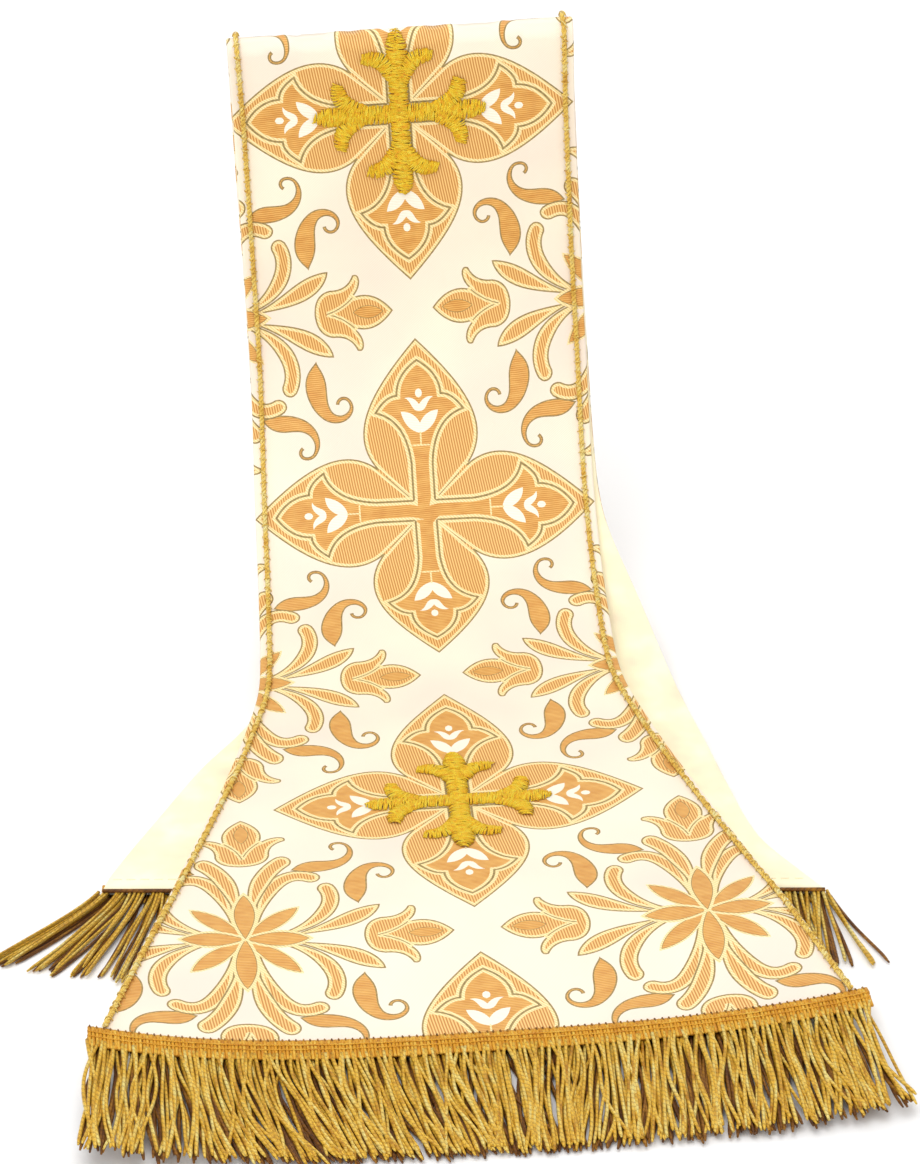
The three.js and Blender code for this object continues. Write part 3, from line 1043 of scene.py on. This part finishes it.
def tubes(paths, ups, wide, high, sides):
    """Closed tubes along paths (tubes, points, 3), in metres, flattened towards "ups". Returns
    vertices, faces and uvs."""
    count, length = paths.shape[:2]
    tangents = np.gradient(paths, axis=1)
    side = np.cross(tangents, ups)
    side /= np.linalg.norm(side, axis=2, keepdims=True)
    top = np.cross(side, tangents)
    top /= np.linalg.norm(top, axis=2, keepdims=True)
    wide = np.broadcast_to(wide, (count, length))[..., None]
    high = np.broadcast_to(high, (count, length))[..., None]
    angle = np.arange(sides) / sides * 2 * math.pi
    rings = (paths[:, :, None]
             + side[:, :, None] * (np.cos(angle) * wide)[..., None]
             + top[:, :, None] * (np.sin(angle) * high)[..., None])
    steps = np.linalg.norm(np.diff(paths, axis=1), axis=2) / MM
    along = np.concatenate([np.zeros((count, 1)), np.cumsum(steps, axis=1)], axis=1)
    along = (along + np.arange(count)[:, None] * UV_SHIFT)[..., None]
    uvs = np.stack(np.broadcast_arrays(angle * (wide / MM), along), -1)
    number = np.arange(count * length * sides).reshape(count, length, sides)
    following = np.roll(number, -1, axis=2)
    quads = np.stack([number[:, :-1], following[:, :-1], following[:, 1:], number[:, 1:]], -1)
    caps = np.concatenate([number[:, 0, ::-1], number[:, -1]])
    return rings.reshape(-1, 3), [quads.reshape(-1, 4), caps], uvs.reshape(-1, 2)


def thread_object(name, material, parts):
    """One piece from several results of tubes()."""
    vertices, faces, uvs, offset = [], [], [], 0
    for points, groups, pairs in parts:
        vertices.append(points)
        faces += [group + offset for group in groups]
        uvs.append(pairs)
        offset += len(points)
    return new_object(name, np.vstack(vertices), faces, [material], uvs=np.vstack(uvs))


def outward(run, x, height):
    """The direction away from the middle of the stack."""
    return (strip_point(run, x, np.asarray(height) + 0.5) - strip_point(run, x, height)) / MM


def laid(run, x, height, wide, high=None, sides=5):
    """Tubes laid on the strip, one for each row of points; their radii are in millimetres."""
    run, x, height = np.broadcast_arrays(*np.atleast_2d(run, x, height))
    high = wide if high is None else high
    return tubes(strip_point(run, x, height), outward(run, x, height), wide * MM, high * MM, sides)


def scattered(rng, start, end, pitch, spread):
    """Places at an even pitch, each a little off."""
    places = np.arange(start, end, pitch)
    return places + rng.normal(0, spread, len(places))


GALLOON_INSET = 2.8         # from the brocade's edge to the cord's middle, at the stem
GALLOON_INSET_END = 1.4     # and at the hems
GALLOON_BASE = FACE + 0.05
CORD_PLY = 0.42             # radius of each ply
CORD_TURN = 2.7             # length of a full turn of the plies
CORD_STEP = 0.42
COUCHING_PITCH = 3.4
COUCHING_RADIUS = 0.16


def galloon_middle(run):
    """How far the cord runs from the strip's middle line."""
    share = ease(np.abs(run) / HALF_LENGTH * 2 - 1)
    return half_width(run) - (GALLOON_INSET + (GALLOON_INSET_END - GALLOON_INSET) * share)


def pressed(run):
    """How much the cord is pressed flat: not at all in front, fully on the back half's foot."""
    return ease((-run - 60) / 80)


def galloon(name, side, material):
    """A gold cord of two plies along one edge, with couching stitches over it."""
    end = HEADING_START - GAP
    run = np.arange(-end, end, CORD_STEP)
    phase = run / CORD_TURN * 2 * math.pi
    high = CORD_PLY * (1 - 0.42 * pressed(run))
    parts = []
    for ply in (0, math.pi):
        x = side * galloon_middle(run) + CORD_PLY * 0.9 * np.cos(phase + ply)
        height = GALLOON_BASE + high * (1.6 + 0.7 * np.sin(phase + ply))
        parts.append(laid(run, x, height, CORD_PLY, high, sides=6))
    rng = np.random.default_rng(11 if side > 0 else 12)
    at = np.arange(-end + 2, end - 2, COUCHING_PITCH)
    at = (at + rng.uniform(-0.5, 0.5, len(at)))[:, None]
    slant = rng.uniform(-0.3, 0.9, len(at))[:, None]
    u = np.linspace(-1, 1, 7)
    arch = (1.55 - 0.7 * pressed(at)) * np.sqrt(1 - 0.98 * u**2)
    x = side * galloon_middle(at) + u
    parts.append(laid(at + slant * u, x, GALLOON_BASE + arch, COUCHING_RADIUS))
    return place(thread_object(name + "_cord", material, parts), "galloon", name)


HEADING_PITCH = 0.86                        # of the heading's upright cords
HEADING_ROWS = ((0.36, 0.24), (0.62, 0.2))  # how far down each row lies, and its radius
HEADING_BANDS = (0.15, 0.5, 0.85)
STITCH_PITCH = 2 * HEADING_PITCH


def heading_span(side):
    """Half the length of the heading; the back one hardly shows past the hem's corners."""
    return HEM_HALF_WIDTH + (1.0 if side > 0 else 0.1)


def heading_run(share):
    return HEADING_START + share * (HEADING_END - HEADING_START)


def fringe_heading(name, side, material):
    """The fringe's woven heading: upright cords side by side on a band, held by two rows."""
    rng = np.random.default_rng(15 if side > 0 else 16)
    span = heading_span(side)
    press = 1.0 if side > 0 else 0.72
    at = scattered(rng, -span + 0.4, span - 0.3, HEADING_PITCH, 0.06)[:, None]
    t = np.linspace(0, 1, 9)
    run = HEADING_START - 0.1 + (HEADING_END + 0.9 - HEADING_START) * t
    rise = 0.12 + 0.5 * np.sin(math.pi * np.clip(t + 0.08, 0, 0.62) / 1.1)
    parts = [laid(side * run, at + 0.35 * t, FACE + press * rise, 0.46, 0.34, sides=6)]
    x = np.arange(-span, span, 0.55)
    height = FACE + press * (0.98 + 0.12 * np.cos(x / HEADING_PITCH * 2 * math.pi))
    for share, radius in HEADING_ROWS:
        parts.append(laid(side * heading_run(share), x, height, radius))
    x = np.linspace(-span, span, 60)
    for share in HEADING_BANDS:
        parts.append(laid(side * heading_run(share), x, FACE + 0.3, 1.4, 0.22, sides=8))
    return place(thread_object(name + "_band", material, parts), "fringe_heading", name)


def heading_stitches(name, side, material):
    """Small dark stitches over the heading's top edge."""
    rng = np.random.default_rng(21 if side > 0 else 22)
    span = heading_span(side)
    at = np.arange(-span + 0.4, span - 0.3, STITCH_PITCH)
    at = (at + rng.uniform(-0.15, 0.15, len(at)))[:, None]
    u = np.linspace(-1, 1, 5)
    run = HEADING_START + 0.15 + 0.75 * u
    height = FACE + 0.1 + 0.6 * np.sqrt(1 - 0.95 * u**2)
    part = laid(side * run, at + 0.12 * u, height, 0.2)
    return place(thread_object(name, material, [part]), "fringe_heading")


STRAND_ROOT = HALF_LENGTH + 0.2
STRAND_RADIUS = 0.48
TIP_THINNESS = 0.55
FRINGE_SPAN = HEM_HALF_WIDTH + 0.8
# How much the strands differ: in place and length, in how they sway, bow and wave, and in height.
ROOT_SPREAD = 0.3
TIP_SPREAD = 0.9
SWAY_SPREAD = 1.2
BOW_SPREAD = 1.3
WAVE_SPREAD = 0.45
HEIGHT_SPREAD = 0.12
BUNCH_PITCH = 5.5
STRAY_SHARE = 0.14          # how many of them lie askew
STRAY_SPREAD = 5.0          # and by how much
# By place on the hem: how far the strands lean across on their way to the tips, and how much
# shorter they are. The back hem's corners splay out by themselves.
FRONT_LEAN = (
    (-95, -2), (-82, 0), (-72, 7), (-50, 9), (-20, 8), (10, 2), (24, -5), (45, -1), (75, 1),
    (95, 5),
)
BACK_LEAN = (
    (-94, -16), (-85, -3), (-77, 8), (-60, 4), (60, 0), (80, -4), (90, -10), (93, -9), (95, 2),
)
BACK_SHORTENING = ((-94, 8.5), (-86, 4), (-77, -0.5), (-60, -0.5), (60, 0), (80, 6), (95, 6))
# The layers of loose strands, the hidden ones first: how high they lie at their roots and tips,
# their pitch, the points of each strand, and how far they draw together into bunches.
FRONT_LAYERS = ((1.0, 0.95, 1.1, 20, 0.4), (1.6, 1.3, 1.2, 20, 0.8), (2.3, 1.8, 1.3, 20, 2))
BACK_LAYERS = ((2.8, 3.1, 0.92, 16, 0.4), (2.1, 2.9, 1.4, 20, 1.2), (1.1, 2.4, 1.35, 26, 1.4))


def along_hem(rows, x):
    """A value by place on the hem, in between its rows of (place, value)."""
    return np.interp(x, *np.transpose(rows))


def strand_paths(rng, roots, points, lean, heights, side, tips, bend, clumping):
    """Smooth, slightly wandering strands from the heading to the tips."""
    count = len(roots)
    t = np.linspace(0, 1, points)
    end = tips + rng.normal(0, TIP_SPREAD, count)
    bunches = np.arange(-110, 111, BUNCH_PITCH)
    clump = np.interp(roots, bunches, rng.normal(0, clumping, len(bunches)))
    sway = lean + clump + rng.normal(0, SWAY_SPREAD, count)
    inner = np.clip((HEM_HALF_WIDTH - np.abs(roots)) / 20, 0, 1)
    stray = inner * (rng.uniform(0, 1, count) < STRAY_SHARE)
    sway = sway + stray * rng.normal(0, STRAY_SPREAD, count)
    bow = rng.normal(0, BOW_SPREAD, count)
    wave = rng.normal(0, WAVE_SPREAD, count)
    phase = rng.uniform(0, 6.28, count)
    x = (roots[:, None] + sway[:, None] * t**bend + bow[:, None] * np.sin(math.pi * t)
         + wave[:, None] * np.sin(phase[:, None] + 7 * t))
    run = STRAND_ROOT + (end - STRAND_ROOT)[:, None] * t
    low, high = heights
    height = low + (high - low) * t + rng.normal(0, HEIGHT_SPREAD, count)[:, None] * np.sin(4 * t)
    return side * run, x, height


def straightened(x):
    """Sideways swings spread evenly from root to tip, all but a little."""
    t = np.linspace(0, 1, x.shape[1])
    return 0.2 * x + 0.8 * (x[:, :1] + (x[:, -1:] - x[:, :1]) * t**1.15)


def strands(rng, roots, points, lean, heights, side, tips, bend=1.5, high=1.0, clumping=2.2):
    """A layer of strands, thinner at the tips. Those on the back half are straightened."""
    run, x, height = strand_paths(rng, roots, points, lean, heights, side, tips, bend, clumping)
    path = strip_point(run, x, height)
    if side < 0:
        path[..., 0] = straightened(path[..., 0])
    taper = np.ones(points)
    taper[-1] = TIP_THINNESS
    thick = STRAND_RADIUS * MM * taper * rng.uniform(0.88, 1.1, len(roots))[:, None]
    return tubes(path, outward(run, x, height), thick, thick * high, 6)


def front_fringe(material, painted_shade):
    """Loose layers of strands, the inner ones in a darker gold of painted shade, and the top layer
    over them.
    """
    rng = np.random.default_rng(31)
    tip = FRINGE_END - 0.8
    layers = []
    for low, high, pitch, points, clumping in FRONT_LAYERS:
        roots = scattered(rng, -FRINGE_SPAN + 1.5, FRINGE_SPAN - 1, pitch, ROOT_SPREAD)
        lean = along_hem(FRONT_LEAN, roots) + rng.normal(0, 0.8, len(roots))
        layers.append(strands(rng, roots, points, lean, (low, high), 1, tip, clumping=clumping))
    place(thread_object("fringe_front_inner", painted_shade, layers[:2]), "fringe", "fringe_front")
    place(thread_object("fringe_front_middle", material, layers[2:]), "fringe", "fringe_front")
    roots = scattered(rng, -FRINGE_SPAN, FRINGE_SPAN, 1.15, ROOT_SPREAD)
    top = strands(rng, roots, 34, along_hem(FRONT_LEAN, roots), (3.3, 2.2), 1, tip - 0.5)
    return place(thread_object("fringe_front_outer", material, [top]), "fringe", "fringe_front")


def back_fringe(material, painted_shade):
    """The same fringe on the back half; its corners splay out and its middle is pressed flat."""
    rng = np.random.default_rng(41)
    layers = []
    for low, high, pitch, points, clumping in BACK_LAYERS:
        roots = scattered(rng, -FRINGE_SPAN, FRINGE_SPAN, pitch, ROOT_SPREAD)
        lean = along_hem(BACK_LEAN, roots) + rng.normal(0, 1.6, len(roots))
        tips = FRINGE_END - 1 - along_hem(BACK_SHORTENING, roots)
        free = np.clip((np.abs(roots) - 58) / 10, 0, 1)[:, None]
        flat = 1 - 0.55 * np.linspace(0, 1, points) * (1 - free)
        heights = (low, high + (3.3 - high) * (1 - free))
        layers.append(strands(rng, roots, points, lean, heights, -1, tips, 1.1, flat, clumping))
    # The lowest layer and a cord along the hem take the darker gold: painted shade, which darkens the
    # line just below the hem.
    x = np.linspace(-FRINGE_SPAN + 1, FRINGE_SPAN - 1, 60)
    root = laid(-HALF_LENGTH - 0.6, x, 0.5, 0.55, sides=8)
    place(thread_object("fringe_back_inner", painted_shade, [layers[0], root]), "fringe", "fringe_back")
    return place(thread_object("fringe_back_outer", material, layers[1:]), "fringe", "fringe_back")


# --- Embroidered crosses ---
THREAD_POINTS = 6
THREAD_SPREAD = 0.05        # how far the stitches stray along the limb
WIDTH_SPREAD = 0.12
THREAD_SLANT = 0.3
SLANT_SPREAD = 0.25
MEETING_REACH = 0.35        # how far from the limb's middle the stitches of its two sides meet
MEETING_OVERLAP = 0.2
PADDING_BASE = 0.12


def satin_limb(middle, half, top, rng, pitch):
    """Threads laid side by side across a limb, over its padding. Returns (out, along, height)."""
    steps = distance_along(middle)
    at = scattered(rng, 0, steps[-1], pitch, THREAD_SPREAD)
    centre = np.column_stack([np.interp(at, steps, middle[:, k]) for k in (0, 1)])
    normals = line_normals(middle, False)
    normal = np.column_stack([np.interp(at, steps, normals[:, k]) for k in (0, 1)])
    normal /= np.linalg.norm(normal, axis=1)[:, None]
    ahead = np.column_stack([normal[:, 1], -normal[:, 0]])
    width = np.interp(at, steps, half) + rng.normal(0, WIDTH_SPREAD, len(at))
    meeting = rng.uniform(-MEETING_REACH, MEETING_REACH, len(at))
    from_left = np.arange(len(at)) % 2 == 0
    left = np.where(from_left, -1, meeting - MEETING_OVERLAP)
    right = np.where(from_left, meeting + MEETING_OVERLAP, 1)
    u = left[:, None] + (right - left)[:, None] * np.linspace(0, 1, THREAD_POINTS)
    slant = rng.normal(THREAD_SLANT, SLANT_SPREAD, len(at))
    spread = centre[:, None] + normal[:, None] * (u * width[:, None])[..., None]
    spread = spread + ahead[:, None] * (u * slant[:, None])[..., None]
    lift = (top * np.minimum(1, width / 2.0))[:, None] * np.sqrt(1 - 0.97 * np.abs(u) ** 3)
    dive = 1 - np.abs(np.linspace(-1, 1, THREAD_POINTS)) ** 4
    lift = lift * (0.86 + 0.14 * dive) + PADDING_BASE + rng.normal(0, 0.03, len(at))[:, None]
    return np.dstack([spread, lift])


PETAL_HALF = (0.9, 1.6, 2.2, 2.5, 2.5, 2.3, 2.1, 1.4)
SHAFT_LENGTH = 17.5


def cross_limbs(top, rng, pitch):
    """All the threads of a cross, in (out, along, height), from the lowest to the highest: each arm
    has two curled petals, a bud at its end and a shaft."""
    petal = bezier((1.4, 8.6), (2.2, 14.6), (3.6, 17.4), (10.0, 17.2), step=0.5)
    t = np.linspace(0, 1, len(petal))
    petal_half = np.interp(t, np.linspace(0, 1, len(PETAL_HALF)), PETAL_HALF)
    bud = bezier((0, 15.5), (0, 24.6), step=0.5)
    t = np.linspace(0, 1, len(bud))
    bud_half = 3.0 * np.clip(1 - ((t - 0.4) / 0.66) ** 2, 0.05, 1) ** 0.75
    shaft = bezier((0, 0), (0, SHAFT_LENGTH), step=0.5)
    narrowing = 1.1 * ease((np.linspace(0, SHAFT_LENGTH, len(shaft)) - 10) / 7.5)
    limbs = []
    for quarter in (1, 3, 0, 2):
        base = top + (0.2 if quarter % 2 == 0 else 0.0)
        shaft_half = (2.65 if quarter % 2 == 0 else 2.8) - narrowing
        limbs += [(petal * (flip, 1), quarter, petal_half, base) for flip in (1, -1)]
        limbs += [(bud, quarter, bud_half, base + 0.05), (shaft, quarter, shaft_half, base + 0.1)]
    return [
        satin_limb(quarter_turned(middle, quarter, 1), half, height, rng, pitch)
        for middle, quarter, half, height in limbs
    ]


def embroidered_cross(name, run, across, top, seed, material, stretch=(1, 1), pitch=0.15):
    """Stitched arms over low padding."""
    rng = np.random.default_rng(seed)
    parts = []
    for limb in cross_limbs(top, rng, pitch):
        out, along, height = np.moveaxis(limb, -1, 0)
        x = across + out * stretch[0]
        parts.append(laid(run - along * stretch[1], x, FACE + height, 1.5 * pitch, 0.1))
    return place(thread_object(name + "_stitches", material, parts), "cross", name)


# --- Lining ---
LINING_ROWS = 240
LINING_COLUMNS = 45


def lining_shell(material):
    """The lining: a thin closed shell with round edges."""
    run = np.linspace(-HALF_LENGTH, HALF_LENGTH, LINING_ROWS)
    across = np.linspace(-1, 1, LINING_COLUMNS)
    radius = (LINING_OUT - LINING_IN) / 2
    middle = (LINING_OUT + LINING_IN) / 2
    flat = (half_width(run) - GAP - radius)[:, None]
    turn = np.linspace(-math.pi / 2, math.pi / 2, 6)[1:-1]
    flat_x = across * flat
    edge_x = flat + radius * np.cos(turn)
    edge_height = middle + radius * np.sin(turn) + np.zeros_like(edge_x)
    inside = np.full_like(flat_x, LINING_IN)
    outside = np.full_like(flat_x, LINING_OUT)
    x = np.hstack([flat_x, edge_x, flat_x[:, ::-1], -edge_x[:, ::-1]])
    height = np.hstack([inside, edge_height, outside, edge_height[:, ::-1]])
    runs = np.broadcast_to(run[:, None], x.shape)
    number = np.arange(x.size).reshape(x.shape)
    after = np.roll(number, -1, axis=1)
    quads = np.stack([number[:-1], number[1:], after[1:], after[:-1]], -1).reshape(-1, 4)
    faces = [quads, number[:1], number[-1:, ::-1]]
    vertices = strip_point(runs, x, height).reshape(-1, 3)
    uvs = np.stack([x, runs], -1).reshape(-1, 2)
    shell = new_object("lining_cloth", vertices, faces, [material], uvs=uvs)
    return place(shell, "lining", "lining")


def lining_stitches(material):
    """A row of stitches near each hem; those in front lie almost sunk in the cloth."""
    at = np.arange(-HEM_HALF_WIDTH + 4, HEM_HALF_WIDTH - 4, 3.6)[:, None]
    u = np.linspace(-1, 1, 5)
    parts = []
    for side, sunk in ((-1, 0.0), (1, 0.2)):
        height = LINING_IN - 0.12 + sunk + 0.1 * u**2
        parts.append(laid(side * (HALF_LENGTH - 4.5), at + 1.15 * u, height, 0.17, 0.12))
    return place(thread_object("lining_stitches", material, parts), "lining")


# --- Camera, light and floor ---
CAMERA_TARGET = (5.6145, 0.0, 50.66)
CAMERA_DISTANCE = 943.45
CAMERA_PITCH = math.radians(28.73)
CAMERA_YAW = math.radians(3.01)
CAMERA_ROLL = math.radians(-1.83)
CAMERA_LENS = 135.2
SENSOR_WIDTH = 36.0
WORLD_STRENGTH = 0.74
FLOOR_REACH = 6.0


def add_camera():
    """The camera looks down at the maniple from in front, from a little left of its middle."""
    ahead = Vector((
        math.sin(CAMERA_YAW) * math.cos(CAMERA_PITCH),
        math.cos(CAMERA_YAW) * math.cos(CAMERA_PITCH),
        -math.sin(CAMERA_PITCH),
    ))
    level = ahead.cross(Vector((0, 0, 1))).normalized()
    upright = level.cross(ahead)
    right = math.cos(CAMERA_ROLL) * level + math.sin(CAMERA_ROLL) * upright
    up = math.cos(CAMERA_ROLL) * upright - math.sin(CAMERA_ROLL) * level
    data = bpy.data.cameras.new("camera")
    data.lens = CAMERA_LENS
    data.sensor_width = SENSOR_WIDTH
    data.sensor_fit = "HORIZONTAL"
    data.clip_start = 0.01
    data.clip_end = 20.0
    camera = bpy.data.objects.new("camera", data)
    place_at = (Vector(CAMERA_TARGET) + Vector(ORIGIN)) * MM - ahead * CAMERA_DISTANCE * MM
    turn = Matrix((right, up, -ahead)).transposed().to_4x4()
    camera.matrix_world = Matrix.Translation(place_at) @ turn
    bpy.context.scene.collection.objects.link(camera)
    bpy.context.scene.camera = camera


def add_softbox(name, location, target, size, power):
    """A rectangular area light, aimed at a target."""
    data = bpy.data.lights.new(name, "AREA")
    data.shape = "RECTANGLE"
    data.size, data.size_y = size
    data.energy = power
    light = bpy.data.objects.new(name, data)
    light.location = location
    light.rotation_euler = (Vector(target) - Vector(location)).to_track_quat("-Z", "Y").to_euler()
    bpy.context.scene.collection.objects.link(light)


def add_studio():
    """Even white light from all round, and three softboxes."""
    world = bpy.data.worlds.new("studio")
    world.use_nodes = True
    background = world.node_tree.nodes["Background"]
    background.inputs["Color"].default_value = (1.0, 1.0, 1.0, 1.0)
    background.inputs["Strength"].default_value = WORLD_STRENGTH
    bpy.context.scene.world = world
    add_softbox("overhead", (-0.15, -0.35, 1.3), (0, 0.0, 0.05), (0.9, 0.9), 7.5)
    add_softbox("front", (-0.5, -1.3, 0.7), (0, 0.0, 0.08), (0.6, 0.8), 5.0)
    add_softbox("backdrop", (0.1, 1.1, 1.1), (0.1, 0.9, 0), (1.6, 0.8), 5.0)
    bpy.context.scene.view_settings.view_transform = "Standard"


def add_floor():
    """The white table top."""
    mesh = bpy.data.meshes.new("floor")
    corners = ((-1, -1), (1, -1), (1, 1), (-1, 1))
    mesh.from_pydata([(x * FLOOR_REACH, y * FLOOR_REACH, 0) for x, y in corners], [], [range(4)])
    material = bpy.data.materials.new("floor")
    material.use_nodes = True
    shader = material.node_tree.nodes["Principled BSDF"]
    shader.inputs["Base Color"].default_value = (0.93, 0.93, 0.93, 1.0)
    shader.inputs["Roughness"].default_value = 0.9
    mesh.materials.append(material)
    floor = bpy.data.objects.new("floor", mesh)
    bpy.context.scene.collection.objects.link(floor)


add_camera()
add_studio()
add_floor()

PATTERN = pattern()
WEAVE_MATERIALS = [
    ground_weave(), line_weave(), pale_weave(), tan_weave(), gold_weave(), white_weave(),
]
CORD_GOLD = gold_thread(
    "cord_gold", (226, 170, 50), (255, 220, 104), (255, 248, 178), 0.0, 0.55, 2.0,
)
HEADING_GOLD = gold_thread(
    "heading_gold", (206, 134, 14), (242, 178, 38), (255, 216, 92), 0.1, 0.5, 2.4,
)
STITCH_BROWN = gold_thread(
    "stitch_brown", (86, 52, 10), (140, 94, 24), (190, 140, 50), 0.0, 0.7, 2.0,
)
FRINGE_GOLD = gold_thread(
    "fringe_gold", (198, 138, 10), (252, 208, 70), (255, 246, 160), 0.25, 0.3, 3.0, groove_relief_and_shade=0.4,
)
# A darker copy of the fringe gold: painted shade for the strands that lie deep in the fringes and for
# the cord along the back hem.
FRINGE_PAINTED_SHADE = gold_thread(
    "fringe_painted_shade", (76, 38, 0), (132, 82, 4), (196, 140, 34), 0.2, 0.5, 3.0, groove_relief_and_shade=0.5,
)
CROSS_GOLD = gold_thread(
    "cross_gold", (246, 162, 0), (255, 212, 8), (255, 240, 80), 0.0, 0.6, 0.8,
)

cloth = brocade_shell()
lining = lining_shell(lining_cloth())
hem_stitches = lining_stitches(lining_cloth())
cords = [galloon("galloon_left", -1, CORD_GOLD), galloon("galloon_right", 1, CORD_GOLD)]
bands = [
    fringe_heading("fringe_heading_front", 1, HEADING_GOLD),
    fringe_heading("fringe_heading_back", -1, HEADING_GOLD),
    heading_stitches("heading_stitches_front", 1, STITCH_BROWN),
    heading_stitches("heading_stitches_back", -1, STITCH_BROWN),
]
fringes = [front_fringe(FRINGE_GOLD, FRINGE_PAINTED_SHADE), back_fringe(FRINGE_GOLD, FRINGE_PAINTED_SHADE)]
crosses = [
    embroidered_cross("cross_middle", 0, MIDDLE_CROSS_ACROSS, 0.85, 51, CROSS_GOLD),
    embroidered_cross(
        "cross_front", CROSS_RUN, END_CROSS_ACROSS, 0.75, 52, CROSS_GOLD, stretch=(1.02, 0.94),
    ),
    embroidered_cross("cross_back", -CROSS_RUN, 0, 0.55, 53, CROSS_GOLD, pitch=0.3),
]
